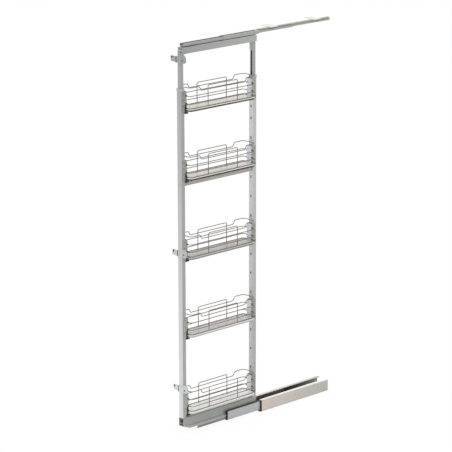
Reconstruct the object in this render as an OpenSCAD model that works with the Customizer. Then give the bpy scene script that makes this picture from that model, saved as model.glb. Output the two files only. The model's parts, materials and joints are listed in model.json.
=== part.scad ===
// Pull-out larder unit: a tall, narrow frame with wire baskets that rolls out of a cabinet
// on a full-extension floor slide and is steadied by a guide rail under the cabinet's top.
// Drawn fully pulled out. X is the width, +Y goes into the cabinet and +Z is up. The origin
// is on the cabinet floor, in the middle of the front end of the fixed channel.

/* [Frame] */
// Depth of the frame, front face to back face
frame_depth = 495; // [450:5:530]
// Gap between the frame's back and the fixed channel when fully pulled out
rest_gap = 17.5; // [12:0.5:30]
// How far the upper posts stand out of the lower ones
upper_show = 171; // [140:1:200]
// Width of the lower posts
post_w = 30.5; // [29:0.5:33]
// Depth of the lower posts
post_d = 22.5; // [20:0.5:25]
// Wall of the lower posts
post_t = 2; // [1.5:0.1:2.2]
// Height of the collar on each lower post, above the top basket's bracket
collar_h = 11; // [9:1:30]
// Clearance between a lower post's bore and the upper post in it
post_play = 1; // [0.6:0.1:1.2]
// How far the upper posts reach down inside the lower ones
post_insert = 150; // [120:5:180]
// Wall of the upper posts
upper_t = 1.5; // [1.2:0.1:2]

/* [Post slots] */
// Distance between hooking slots, four of them from one basket to the next
slot_pitch = 100; // [92:1:100]
// Number of hooking slots on the regular pitch
slot_count = 15; // [12:1:15]
// Width of a hooking slot
slot_w = 7; // [6:0.5:9]
// Height of a hooking slot
slot_h = 13; // [12:0.5:15]
// How far the spare slot lies below the top basket's slot
spare_drop = 81; // [60:1:90]

/* [Floor slide] */
// How far the frame rolls into the cabinet
travel = 500; // [480:5:505]
// Length of the fixed channel
channel_len = 475; // [465:5:520]
// Width of the fixed channel
channel_w = 82; // [80:0.5:86]
// Height of the fixed channel
channel_h = 61; // [60:0.5:64]
// Wall of the fixed channel
channel_t = 2; // [1.8:0.1:2.4]
// Width of the gap between the channel's lips
channel_slot = 44; // [42:0.5:48]
// Length of the middle profile
middle_len = 440; // [400:5:445]
// Width of the middle profile
middle_w = 67; // [66:0.5:67.5]
// Height of the middle profile
middle_h = 47; // [45:0.5:48]
// Wall of the middle profile
middle_t = 1.8; // [1.6:0.1:2]
// Width of the gap between the middle profile's lips
middle_slot = 41; // [40:0.5:43]
// Clearance between the channel's base and the middle profile
middle_lift = 7.5; // [6:0.5:8.5]
// Width of the pull-out rail
rail_w = 53; // [52:0.5:54]
// Wall of the pull-out rail
rail_t = 2; // [1.8:0.1:2.4]
// Height of the pull-out rail's underside
rail_z = 15; // [13.5:0.5:18]
// How far the rail's front end is set back from the frame's front
rail_setback = 10; // [5:1:30]
// Width of the bottom beam
beam_w = 34; // [33:0.5:36]
// Height of the bottom beam
beam_h = 43; // [41:1:47]
// Wall of the bottom beam
beam_t = 2; // [1.8:0.1:2.4]
// Height of the bottom beam's underside
beam_z = 40; // [39:0.5:44]
// Number of balls in a row
ball_count = 9; // [7:1:9]
// How deep a ball sits in each wall beside it
ball_bite = 0.6; // [0.5:0.05:0.65]
// Gap between a ball and its track
ball_play = 0.3; // [0.3:0.05:0.35]

/* [Top guide] */
// Width of the top beam
top_beam_w = 35; // [34:0.5:37]
// How far the top beam's front end is set back from the frame's front
top_setback = 9; // [3:1:14]
// Height of the top beam
top_beam_h = 32; // [28:0.5:34]
// Wall of the top beam
top_beam_t = 1.5; // [1.2:0.1:2]
// Length of the fixed top rail
top_rail_len = 495; // [460:5:505]
// Length of the top rail that slides between the frame's rail and the fixed one
top_middle_len = 470; // [440:5:480]
// Sheet of the top rails
top_t = 1.5; // [1.2:0.1:1.5]
// Width of the top rail on the frame
frame_rail_w = 26; // [26:0.5:27]
// Height of the top rail on the frame
frame_rail_h = 14.5; // [14.5:0.1:15]
// Length of the soft-close housing
damper_len = 236; // [220:1:250]
// Reach of the mounting wings to the side
wing_reach = 56; // [45:1:58]
// Length of a mounting wing
wing_len = 48; // [40:1:60]

/* [Baskets] */
// Height of the lowest basket's bottom wire
first_basket_z = 120; // [120:0.5:122]
// How far the top basket hangs below the regular step
top_basket_drop = 59; // [50:1:70]
// Basket wire diameter
wire_d = 4; // [3.5:0.1:4.2]
// Basket width between the centres of the long wires
basket_w = 87; // [84:0.5:90]
// Gap between a post and the centre of the basket's end wire
end_gap = 9; // [8.5:0.1:9.5]
// Height of the third rail wire
low_wire = 23; // [22:0.5:23.5]
// Height of the second rail wire
mid_wire = 61; // [56:0.5:64]
// Height of the main rail wire along the sides
main_wire = 82; // [78:0.5:86]
// Rise of the main wire at both ends
end_rise = 20; // [16:0.5:24]
// Length of the raised stretch at each end
raised_len = 61; // [50:1:70]
// Height of the hoops above the bottom wire
hoop_h = 101; // [98:0.5:106]
// Distance from the frame's front to the first hoop leg
hoop_start = 152.5; // [146:0.5:158]
// Distance between the two legs of a hoop
hoop_len = 192; // [180:1:200]
// Depth of the tray's skirt
tray_h = 13; // [11:0.5:14]
// Sheet of the tray
tray_t = 1.2; // [1:0.1:1.5]
// Radius of the tray's upper edge
tray_edge = 5; // [3:0.5:6]

/* [Brackets] */
// Height of a basket's end bracket
hook_h = 102; // [98:1:104]
// Clearance between a basket's end bracket and the post, each side
hook_play = 0.2; // [0.1:0.05:0.4]
// Sheet of the brackets
hook_t = 2; // [1.5:0.1:2]
// How far a bracket's side hugs the post
hook_hug = 15; // [12:0.5:16]
// Reach of a door bracket's tab beside the post
door_tab = 45; // [42:1:52]
// Reach of a door bracket's ear on the post's other side
door_ear = 39; // [34:1:48]
// Height of a door bracket's tab
door_h = 30; // [28:0.5:34]
// How far a door bracket's ear rises above its middle
door_rise = 28; // [20:1:30]
// Sheet of a door bracket
door_t = 2.5; // [2:0.1:3]
// Height of the lowest door bracket's middle
door_low_z = 234; // [200:1:260]
// Height of the middle door bracket's middle
door_mid_z = 934; // [880:1:960]
// Highest door bracket's middle below the top beam
door_high_drop = 27; // [24:1:60]
// Gap between the cross bar and the latch of the basket above it
bar_gap = 1; // [0.5:0.5:40]
// Height of the cross bar
bar_h = 18; // [16:1:34]

/* [Hidden] */
$fn = 48;
CUT = 1;              // how far a cutting shape runs past a face
ZINC = [0.74, 0.75, 0.75];
SILVER = [0.78, 0.79, 0.80];
CHROME = [0.82, 0.82, 0.84];
BEIGE = [0.76, 0.74, 0.72];
PALE = [0.88, 0.87, 0.84];
BLACK = [0.12, 0.12, 0.12];

// places along the pull-out direction
y_back = -rest_gap;
y_front = y_back - frame_depth;
y_front_in = y_front + post_d;      // back face of the front post
y_back_in = y_back - post_d;        // front face of the rear post

// floor slide
stop_len = 12;
stop_h = 10;
stop_gap = 1.5;                     // between the closed middle profile and its rubber stop
guide_lip = 6;                      // how far a black guide stands in front of its profile's end
mid_z = channel_t + middle_lift;
mid_y1 = channel_len - stop_len - stop_gap - travel / 2;
mid_y0 = mid_y1 - middle_len;
chan_in = channel_w / 2 - channel_t;
mid_in = middle_w / 2 - middle_t;
outer_ball_d = chan_in - middle_w / 2 + 2 * ball_bite;
outer_ball_x = (chan_in + middle_w / 2) / 2;
outer_ball_z = 18;
inner_ball_d = mid_in - rail_w / 2 + 2 * ball_bite;
inner_ball_x = (mid_in + rail_w / 2) / 2;
inner_ball_z = 28;
cage_t = 1;
ball_gap = 15;
cage_over = 14;
rail_y0 = y_front + rail_setback;
rail_y1 = y_back - 3;
rail_shoulder = 6;
rail_lip = 9;
rail_notch = [77, 13];              // length and height of the part cut away under the rail's front end
rail_nose = [25, 23];               // length and height of the slanted nose in front of it
rivet_in = 40;                      // first and last rivet from the rail's ends
beam_top = beam_z + beam_h;
beam_web = 12;                      // height of the web between the beam's two chambers
channel_hole_r = 2.6;
channel_holes = [225, 395];         // floor screw holes, from the channel's front
side_holes = [72, 232, 401];        // small holes in the channel's sides
side_hole_z = 34.5;
channel_corner = 4;

// posts
bore_w = post_w - 2 * post_t;
bore_d = post_d - 2 * post_t;
upper_w = bore_w - 2 * post_play;
upper_d = bore_d - 2 * post_play;
post_r = 2;
hook_over_wire = 22.4;              // a hooking slot's middle above the basket's bottom wire
slot_z0 = first_basket_z + hook_over_wire;
basket_step = 4 * slot_pitch;
top_basket_z = first_basket_z + 4 * basket_step - top_basket_drop;
basket_z = [for (i = [0 : 3]) first_basket_z + i * basket_step, top_basket_z];
hook_below = 19;                    // a bracket's lower end below the bottom wire
clip_foot = 8;
basket_screw_r = 2;
bar_screw_r = 2.2;
bar_w = 18;
bar_t = 1.5;
bar_end = 12;                       // depth of the solid block in each end of the bar
bar_z = basket_z[3] - hook_below - clip_foot - bar_gap - bar_h / 2;
bar_screw_z = [bar_z - bar_h / 4, bar_z + bar_h / 4];
collar_t = 2;
collar_lip = 3;
top_leg = 40;                       // height of the angle's leg under the top beam
collar_gap = 1;                     // between a collar and the top basket's bracket
post_top_z = top_basket_z - hook_below + hook_h + collar_gap + collar_h;
top_beam_z = post_top_z + upper_show;
door_high_z = top_beam_z - door_high_drop;
door_z = [door_low_z, door_mid_z, door_high_z];
door_screw_r = 2.2;
spare_hole_z = 262;
plug_h = 30;
post_screw_len = 26;

// top guide
top_z = top_beam_z + top_beam_h;
rail_gap = 4;
fr_z = top_z + rail_gap;            // underside of the frame's top rail
fr_y0 = y_front + top_setback + 10;
fr_y1 = y_back - 5;
fr_lip = 2;
spacer_w = 10;
spacer_len = 90;
mr_w = frame_rail_w - 2 * top_t - 1.8;
mr_t = 1.2;
mr_z = fr_z + top_t + 0.5;
mr_top = fr_z + frame_rail_h - top_t - 0.5;
mr_slot = 11;
damper_ahead = 218.5;               // from the frame's back to the front of the soft-close housing
mr_y0 = y_back - damper_ahead;
mr_y1 = mr_y0 + top_middle_len;
cr_w = mr_w - 2 * mr_t - 2.8;
cr_neck = 7;
cr_z = mr_z + mr_t + 1.3;
cr_foot_top = mr_top - mr_t - 0.6;
cr_top = fr_z + frame_rail_h + 6;
cr_flange = 1.5;
wing_t = 2;
wing_y = [76, 374];                 // front ends of the two wings
wing_hole_r = 2.6;
wing_hole_in = 10;
damper_w = frame_rail_w + 2 * top_t + 0.6;
damper_slot = 14;
damper_y0 = mr_y0;
cap_len = 30;
strip_y = [fr_y0, damper_y0 + damper_len - cap_len - 6 - spacer_len];

// baskets
side_x = basket_w / 2;
ring_y0 = y_front_in + end_gap;
ring_y1 = y_back_in - end_gap;
ring_r = 18;
bend_r = 7;
slope_len = 13;
hoop_x = side_x - 0.85 * wire_d;
rim_x = side_x + wire_d / 2;
tray_top = -wire_d / 2;
tray_r = ring_r + wire_d / 2;
hook_w = post_w + 2 * (hook_t + hook_play);
web_in = end_gap + wire_d / 2;      // post to the inner face of a bracket's web
notch_side = 1;
hook_bore = wire_d + 0.6;
neck_z = low_wire + wire_d / 2 + 0.5;
neck_h = 3;
tip_h = 4.5;
clip_t = 3;
clip_up = 38;
screw_drop = 6;

// ---------------------------------------------------------------- general shapes

// A section drawn as width and height, run along Y from y0 to y1
module along_y(y0, y1)
    translate([0, y1, 0])
        rotate([90, 0, 0])
            linear_extrude(y1 - y0)
                children();

// A section drawn as depth and height, run along X, centred
module along_x(width)
    rotate([90, 0, 90])
        linear_extrude(width, center = true)
            children();

// A rectangle with round corners, centred on x and standing on y = 0
module round_rect(w, h, r) {
    translate([-w / 2 + r, 0])
        square([w - 2 * r, h]);
    translate([-w / 2, r])
        square([w, h - 2 * r]);
    for (x = [-w / 2 + r, w / 2 - r], y = [r, h - r])
        translate([x, y])
            circle(r);
}

// The section of a rolled channel whose lips leave a slot at the top
module lipped_section(w, h, t, r, slot)
    difference() {
        round_rect(w, h, r);
        translate([0, t])
            round_rect(w - 2 * t, h - 2 * t, max(r - t, 0.4));
        translate([-slot / 2, h - t - CUT])
            square([slot, t + 2 * CUT]);
    }

// A rectangular tube standing on z = 0, its middle at the origin
module tube(w, d, t, r, h)
    linear_extrude(h)
        difference() {
            translate([0, -d / 2])
                round_rect(w, d, r);
            translate([0, t - d / 2])
                round_rect(w - 2 * t, d - 2 * t, max(r - t, 0.4));
        }

// A round-headed screw along +Y whose head's underside is at the origin
module screw_y(r, length, head_r, head_h)
    rotate([-90, 0, 0]) {
        cylinder(r = r, h = length);
        translate([0, 0, -head_h])
            cylinder(r1 = head_r * 0.8, r2 = head_r, h = head_h);
    }

function unit(v) = v / norm(v);
function wrap(i, n) = (i + n) % n;
function turn(p, i, n) =
    let (u = unit(p[i] - p[wrap(i - 1, n)]), v = unit(p[wrap(i + 1, n)] - p[i]))
    acos(max(-1, min(1, u * v)));
// How much of each leg a bend of radius r at corner i uses
function leg(p, r, i, n, open) = (open && (i == 0 || i == n - 1)) ? 0 : r[i] * tan(turn(p, i, n) / 2);

// A round rod from a to b
module rod(a, b, d) {
    z = unit(b - a);
    side = abs(z[2]) < 0.9 ? [0, 0, 1] : [1, 0, 0];
    x = unit(cross(side, z));
    y = cross(z, x);
    multmatrix([[x[0], y[0], z[0], a[0]], [x[1], y[1], z[1], a[1]], [x[2], y[2], z[2], a[2]], [0, 0, 0, 1]])
        cylinder(d = d, h = norm(b - a));
}

// The round bend of wire at corner i
module bend(p, r, i, n, d) {
    u = unit(p[i] - p[wrap(i - 1, n)]);
    v = unit(p[wrap(i + 1, n)] - p[i]);
    up = unit(cross(u, v));
    inward = cross(up, u);
    c = p[i] - leg(p, r, i, n, false) * u + r[i] * inward;
    multmatrix([[-inward[0], u[0], up[0], c[0]], [-inward[1], u[1], up[1], c[1]],
                [-inward[2], u[2], up[2], c[2]], [0, 0, 0, 1]])
        rotate_extrude(angle = turn(p, i, n))
            translate([r[i], 0])
                circle(d = d);
}

// A wire bent through points p with a bend radius at each
module bent_wire(p, r, d, open = false) {
    n = len(p);
    for (i = [0 : open ? n - 2 : n - 1]) {
        j = wrap(i + 1, n);
        u = unit(p[j] - p[i]);
        rod(p[i] + leg(p, r, i, n, open) * u, p[j] - leg(p, r, j, n, open) * u, d);
    }
    for (i = [open ? 1 : 0 : open ? n - 2 : n - 1])
        bend(p, r, i, n, d);
}

// Places along the bend at corner i, each with the direction of the wire there
function bend_places(p, r, i, n) =
    let (
        u = unit(p[i] - p[wrap(i - 1, n)]),
        v = unit(p[wrap(i + 1, n)] - p[i]),
        inward = cross(unit(cross(u, v)), u),
        c = p[i] - leg(p, r, i, n, false) * u + r[i] * inward,
        full = turn(p, i, n),
        steps = ceil(full / 20)
    )
    [for (j = [0 : steps]) let (a = full * j / steps)
        [c + r[i] * (sin(a) * u - cos(a) * inward), cos(a) * u + sin(a) * inward]];

// A closed wire whose bends lie in different planes, swept as one surface
module swept_wire(p, r, d, sides) {
    n = len(p);
    places = [for (i = [0 : n - 1]) each bend_places(p, r, i, n)];
    m = len(places);
    rim = [for (q = places)
        let (s = unit(cross([0.02, 0.01, 1], q[1])), w = cross(q[1], s))
        for (a = [0.5 : sides - 0.5])
            q[0] + d / 2 * (cos(a * 360 / sides) * s + sin(a * 360 / sides) * w)];
    faces = [for (i = [0 : m - 1], a = [0 : sides - 1])
        let (b = wrap(a + 1, sides), j = wrap(i + 1, m))
        each [[i * sides + b, i * sides + a, j * sides + b], [j * sides + b, i * sides + a, j * sides + a]]];
    polyhedron(rim, faces);
}

// ---------------------------------------------------------------- floor slide

module ball_track(x, z, d)
    for (side = [-1, 1])
        translate([side * x, z])
            circle(d = d + 2 * ball_play);

module cabinet_channel()
    color(BEIGE)
        difference() {
            along_y(0, channel_len)
                difference() {
                    lipped_section(channel_w, channel_h, channel_t, channel_corner, channel_slot);
                    ball_track(outer_ball_x, outer_ball_z, outer_ball_d);
                }
            for (y = channel_holes)
                translate([0, y, -CUT])
                    cylinder(r = channel_hole_r, h = channel_t + 2 * CUT);
            for (y = side_holes)
                translate([0, y, side_hole_z])
                    rotate([0, 90, 0])
                        cylinder(r = 2, h = channel_w + 2 * CUT, center = true);
        }

// Rubber stop across the back of the channel
module channel_stop()
    color(BLACK)
        along_y(channel_len - stop_len, channel_len - 2)
            translate([0, channel_t])
                round_rect(middle_w - 10, stop_h, 3);

// Black plastic liner in the channel's mouth, its collar in front of the channel's end
module channel_guide()
    color(BLACK)
        difference() {
            union() {
                along_y(-guide_lip, 0)
                    round_rect(channel_w, channel_h, channel_corner);
                along_y(-CUT, 9)
                    translate([0, channel_t])
                        round_rect(2 * chan_in, channel_h - 2 * channel_t, channel_corner - channel_t);
            }
            along_y(-guide_lip - CUT, 9 + CUT)
                translate([0, mid_z - 0.5])
                    round_rect(middle_w + 1, channel_h, 3);
        }

module cages(x, z, d, y0, high)
    for (side = [-1, 1])
        difference() {
            translate([side * x - cage_t / 2, y0, z - high / 2])
                cube([cage_t, (ball_count - 1) * ball_gap + 2 * cage_over, high]);
            for (i = [0 : ball_count - 1])
                translate([side * x, y0 + cage_over + i * ball_gap, z])
                    rotate([0, 90, 0])
                        cylinder(d = d + 2 * ball_play, h = 4 * cage_t, center = true);
        }

module balls(x, z, d, y0)
    for (side = [-1, 1], i = [0 : ball_count - 1])
        translate([side * x, y0 + cage_over + i * ball_gap, z])
            sphere(d = d);

outer_cage_y = mid_y1 - (ball_count - 1) * ball_gap - 2 * cage_over - 8;
inner_cage_y = mid_y0 + 12;

module outer_cages()
    color(SILVER)
        cages(outer_ball_x, outer_ball_z, outer_ball_d, outer_cage_y, 18);
module outer_balls()
    color(CHROME)
        balls(outer_ball_x, outer_ball_z, outer_ball_d, outer_cage_y);
module inner_cages()
    color(SILVER)
        cages(inner_ball_x, inner_ball_z, inner_ball_d, inner_cage_y, 13);
module inner_balls()
    color(CHROME)
        balls(inner_ball_x, inner_ball_z, inner_ball_d, inner_cage_y);

module middle_profile()
    color(SILVER)
        along_y(mid_y0, mid_y1)
            difference() {
                translate([0, mid_z])
                    lipped_section(middle_w, middle_h, middle_t, 3.5, middle_slot);
                ball_track(outer_ball_x, outer_ball_z, outer_ball_d);
                ball_track(inner_ball_x, inner_ball_z, inner_ball_d);
            }

// Black plastic cap on the front end of the middle profile, open for the rail
module middle_front_cap()
    color(BLACK)
        difference() {
            union() {
                along_y(mid_y0 - guide_lip, mid_y0)
                    translate([0, mid_z])
                        round_rect(middle_w, middle_h, 3.5);
                along_y(mid_y0 - CUT, mid_y0 + 8)
                    translate([0, mid_z + middle_t])
                        round_rect(2 * mid_in, middle_h - 2 * middle_t, 1.7);
            }
            along_y(mid_y0 - guide_lip - CUT, mid_y0 + 8 + CUT)
                translate([0, rail_z - 0.6])
                    round_rect(rail_w + 1.2, middle_h, 1);
        }

module rail_outline(grow)
    polygon([
        [-beam_w / 2 + grow / 2, beam_z - grow], [-rail_w / 2 + grow, beam_z - rail_shoulder - grow / 2],
        [-rail_w / 2 + grow, rail_z + grow], [rail_w / 2 - grow, rail_z + grow],
        [rail_w / 2 - grow, beam_z - rail_shoulder - grow / 2], [beam_w / 2 - grow / 2, beam_z - grow]
    ]);

module pull_out_rail()
    color(ZINC)
        difference() {
            along_y(rail_y0, rail_y1)
                difference() {
                    rail_outline(0);
                    rail_outline(rail_t);
                    translate([rail_lip - rail_w / 2, rail_z - CUT])
                        square([rail_w - 2 * rail_lip, rail_t + 2 * CUT]);
                    ball_track(inner_ball_x, inner_ball_z, inner_ball_d);
                }
            // the lower part starts further back, behind a slanted nose
            translate([0, rail_y0, rail_z])
                along_x(rail_w + 2 * CUT)
                    polygon([
                        [-CUT, -CUT], [rail_notch[0], -CUT], rail_notch,
                        [rail_nose[0], rail_notch[1]], [0, rail_nose[1]], [-CUT, rail_nose[1]]
                    ]);
            for (y = rivet_y)
                translate([0, y, 0])
                    cylinder(r = 2.5, h = beam_z + CUT);
        }

rivet_y = [for (i = [0 : 3]) rail_y0 + rivet_in + i * (rail_y1 - rail_y0 - 2 * rivet_in) / 3];

module rail_rivets()
    color(CHROME)
        for (y = rivet_y)
            translate([0, y, beam_z - rail_t]) {
                translate([0, 0, -1.5])
                    cylinder(r = 4.5, h = 1.5);
                cylinder(r = 2.5, h = rail_t + beam_t);
                translate([0, 0, rail_t + beam_t])
                    cylinder(r = 4, h = 1.2);
            }

module bottom_beam()
    color(ZINC)
        difference() {
            along_y(y_front, y_back)
                difference() {
                    translate([0, beam_z])
                        round_rect(beam_w, beam_h, 2);
                    for (c = [[beam_t, beam_web - beam_t], [beam_web + beam_t, beam_h - beam_web - 2 * beam_t]])
                        translate([0, beam_z + c[0]])
                            round_rect(beam_w - 2 * beam_t, c[1], 0.6);
                }
            for (y = rivet_y)
                translate([0, y, 0])
                    cylinder(r = 2.5, h = beam_z + beam_t + CUT);
            for (y = post_y)
                translate([0, y, beam_top - beam_t - CUT])
                    cylinder(r = 3.2, h = beam_t + 2 * CUT);
        }

// ---------------------------------------------------------------- posts

post_y = [y_front + post_d / 2, y_back - post_d / 2];

module slot_at(y, z)
    translate([-slot_w / 2, y - post_t - CUT, z - slot_h / 2])
        cube([slot_w, 2 * (post_t + CUT), slot_h]);

// A lower post; inner_y is the face that carries the hooking slots
module lower_post(y, inner_y, screw_z, door_screw_z)
    color(ZINC)
        difference() {
            translate([0, y, beam_top])
                tube(post_w, post_d, post_t, post_r, post_top_z - beam_top);
            for (i = [0 : slot_count - 1])
                slot_at(inner_y, slot_z0 + i * slot_pitch);
            slot_at(inner_y, top_basket_z + hook_over_wire);
            slot_at(inner_y, top_basket_z + hook_over_wire - spare_drop);
            for (z = screw_z)
                translate([0, y, z - screw_drop])
                    rotate([0, 90, 0])
                        cylinder(r = basket_screw_r, h = post_w + 2 * CUT, center = true);
            for (z = bar_screw_z)
                translate([0, y, z])
                    rotate([90, 0, 0])
                        cylinder(r = bar_screw_r, h = post_d + 2 * CUT, center = true);
            if (len(screw_z) > 0)
                translate([post_w / 2, y, spare_hole_z])
                    rotate([0, 90, 0])
                        cylinder(r = 2, h = 2 * (post_t + CUT), center = true);
            for (z = door_screw_z)
                translate([0, y_front, z])
                    rotate([90, 0, 0])
                        cylinder(r = door_screw_r, h = 2 * (post_t + CUT), center = true);
        }

module front_lower_post()
    lower_post(post_y[0], y_front_in, [], [door_low_z, door_mid_z]);
module rear_lower_post()
    lower_post(post_y[1], y_back_in, basket_z, []);

// Blocks in the lower ends of the posts, tapped for the screws from the beam
module post_plugs()
    color(BLACK)
        for (y = post_y)
            translate([0, y, beam_top])
                difference() {
                    tube(bore_w, bore_d, bore_d / 2 - 3.2, 1, plug_h);
                    for (side = [-1, 1])
                        translate([side * bore_w / 3, 0, plug_h])
                            cube([bore_w / 6, bore_d / 2, 16], center = true);
                }

module post_screws()
    color(CHROME)
        for (y = post_y)
            translate([0, y, beam_top - beam_t]) {
                cylinder(r = 3, h = post_screw_len);
                translate([0, 0, -3])
                    cylinder(r = 5.5, h = 3);
            }

// An upper post; toward is 1 where its inner face looks into the cabinet
module upper_post(y, toward)
    color(ZINC)
        difference() {
            translate([0, y, post_top_z - post_insert])
                tube(upper_w, upper_d, upper_t, upper_t + 0.5, top_beam_z - post_top_z + post_insert);
            // open slot that passes the top basket's hooks at any height of the top
            translate([-slot_w / 2 - 1, toward > 0 ? y : y - upper_d, post_top_z - post_insert - CUT])
                cube([slot_w + 2, upper_d, top_beam_z - top_leg - 6 - post_top_z + post_insert + CUT]);
            if (toward > 0)
                translate([0, y - upper_d / 2, door_z[2]])
                    rotate([90, 0, 0])
                        cylinder(r = door_screw_r, h = 4 * upper_t, center = true);
        }

module front_upper_post()
    upper_post(post_y[0], 1);
module rear_upper_post()
    upper_post(post_y[1], -1);

// Clamp sleeve over the upper end of a lower post
module collar(y)
    color(SILVER)
        translate([0, y, post_top_z - collar_h])
            difference() {
                tube(post_w + 2 * collar_t, post_d + 2 * collar_t, collar_t, post_r + collar_t, collar_h);
                translate([post_w / 2 - CUT, 0, collar_h / 2])
                    rotate([0, 90, 0])
                        cylinder(r = 2.5, h = collar_t + 2 * CUT);
            }

// Lip of a collar that closes the gap round the upper post
module collar_cap(y)
    color(SILVER)
        translate([0, y, post_top_z])
            tube(post_w + 2 * collar_t, post_d + 2 * collar_t,
                 collar_t + post_t + post_play - 0.3, post_r + collar_t, collar_lip);

module front_collar() {
    collar(post_y[0]);
    collar_cap(post_y[0]);
}
module rear_collar() {
    collar(post_y[1]);
    collar_cap(post_y[1]);
}

// Clamp screws through each collar's +X side
module collar_screws()
    color(CHROME)
        for (y = post_y)
            translate([post_w / 2 + collar_t, y, post_top_z - collar_h / 2])
                rotate([0, 90, 0]) {
                    translate([0, 0, -collar_t])
                        cylinder(r = 2.5, h = collar_t);
                    cylinder(r1 = 4, r2 = 3.2, h = 2);
                }

module cross_bar()
    color(ZINC)
        difference() {
            along_y(y_front_in, y_back_in)
                translate([0, bar_z - bar_h / 2])
                    round_rect(bar_w, bar_h, 2);
            along_y(y_front_in + bar_end, y_back_in - bar_end)
                translate([0, bar_z - bar_h / 2 + bar_t])
                    round_rect(bar_w - 2 * bar_t, bar_h - 2 * bar_t, 0.6);
            for (z = bar_screw_z)
                translate([0, (y_front_in + y_back_in) / 2, z])
                    rotate([90, 0, 0])
                        cylinder(r = bar_screw_r, h = y_back_in - y_front_in + 2 * CUT, center = true);
        }

module cross_bar_screws()
    color(CHROME)
        for (z = bar_screw_z) {
            translate([0, y_front, z])
                screw_y(bar_screw_r, post_d + 12, 4, 1.8);
            translate([0, y_back, z])
                mirror([0, 1, 0])
                    screw_y(bar_screw_r, post_d + 12, 4, 1.8);
        }

// ---------------------------------------------------------------- top guide

module top_beam()
    color(ZINC)
        along_y(y_front + top_setback, y_back)
            difference() {
                translate([0, top_beam_z])
                    round_rect(top_beam_w, top_beam_h, 2);
                for (z = [top_beam_t, top_beam_h / 2 + top_beam_t / 2])
                    translate([0, top_beam_z + z])
                        round_rect(top_beam_w - 2 * top_beam_t, top_beam_h / 2 - 1.5 * top_beam_t, 0.6);
            }

// Angle that joins an upper post to the beam: a leg down the post and a foot under the beam
module top_bracket(y, toward) {
    leg_h = top_leg;
    foot = 22;
    color(SILVER)
        translate([0, y, 0])
            mirror([0, toward > 0 ? 0 : 1, 0])
                difference() {
                    union() {
                        translate([-upper_w / 2, 0, top_beam_z - leg_h])
                            cube([upper_w, hook_t, leg_h]);
                        translate([-upper_w / 2, 0, top_beam_z - hook_t])
                            cube([upper_w, foot, hook_t]);
                    }
                    translate([0, -CUT, top_beam_z - leg_h])
                        rotate([-90, 0, 0])
                            cylinder(r = 4, h = hook_t + 2 * CUT);
                    translate([0, foot * 0.6, top_beam_z - hook_t - CUT])
                        cylinder(r = 2.2, h = hook_t + 2 * CUT);
                }
}

module front_top_bracket()
    top_bracket(post_y[0] + upper_d / 2, 1);
module rear_top_bracket()
    top_bracket(post_y[1] - upper_d / 2, -1);

module top_frame_rail()
    color(ZINC)
        along_y(fr_y0, fr_y1)
            translate([0, fr_z])
                lipped_section(frame_rail_w, frame_rail_h, top_t, 2, frame_rail_w - 2 * top_t - 2 * fr_lip);

// Packing strips that hold the frame's top rail off the beam
module top_rail_spacers()
    color(ZINC)
        for (y = strip_y)
            translate([-spacer_w / 2, y, top_z])
                cube([spacer_w, spacer_len, rail_gap]);

module damper_section()
    translate([0, fr_z - top_t])
        lipped_section(damper_w, frame_rail_h + 2 * top_t + 1, top_t, 2.5, damper_slot);

// Room in the housing's floor for the rear packing strip
module strip_room()
    translate([-spacer_w / 2 - 0.5, strip_y[1] - 0.5, top_z])
        cube([spacer_w + 1, spacer_len + 1, rail_gap]);

// Housing of the soft-close unit round the frame's top rail
module damper_housing()
    color(SILVER)
        difference() {
            along_y(damper_y0, damper_y0 + damper_len - cap_len)
                damper_section();
            strip_room();
            translate([0, damper_y0 + 22, fr_z + frame_rail_h * 0.7])
                rotate([0, 90, 0])
                    cylinder(r = 2, h = damper_w + 2 * CUT, center = true);
        }

module damper_end_cap()
    color(SILVER)
        along_y(damper_y0 + damper_len - cap_len, damper_y0 + damper_len)
            damper_section();

module top_middle_rail()
    color(ZINC)
        along_y(mr_y0, mr_y1)
            translate([0, mr_z])
                lipped_section(mr_w, mr_top - mr_z, mr_t, 1.6, mr_slot);

module top_cabinet_rail()
    color(SILVER)
        difference() {
            along_y(0, top_rail_len) {
                translate([-cr_w / 2, cr_z])
                    square([cr_w, cr_foot_top - cr_z]);
                translate([-cr_neck / 2, cr_z])
                    square([cr_neck, cr_top - cr_z]);
                translate([-cr_w / 2, cr_top - cr_flange])
                    square([cr_w, cr_flange]);
            }
            // the foot is hollow underneath
            translate([-cr_neck / 2 + 1.2, -CUT, cr_z - CUT])
                cube([cr_neck - 2.4, top_rail_len + 2 * CUT, cr_top - cr_flange - cr_z + CUT]);
        }

// Plates that screw the top rail to the underside of the cabinet's top
module top_wings()
    color(PALE)
        for (y = wing_y)
            difference() {
                translate([-wing_reach, y, cr_top])
                    cube([wing_reach + 20, wing_len, wing_t]);
                for (dy = [wing_hole_in, wing_len - wing_hole_in])
                    translate([-wing_reach + wing_hole_in, y + dy, cr_top - CUT])
                        cylinder(r = wing_hole_r, h = wing_t + 2 * CUT);
            }

// ---------------------------------------------------------------- door brackets

door_left = -post_w / 2 - door_tab;
door_right = post_w / 2 + door_ear;
door_slot = 12;
door_slot_r = 2.6;
door_hole_x = door_left + 9;
door_hole_up = 4;                   // the door screw's slot above the tab's middle
joggle = 5;

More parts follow.
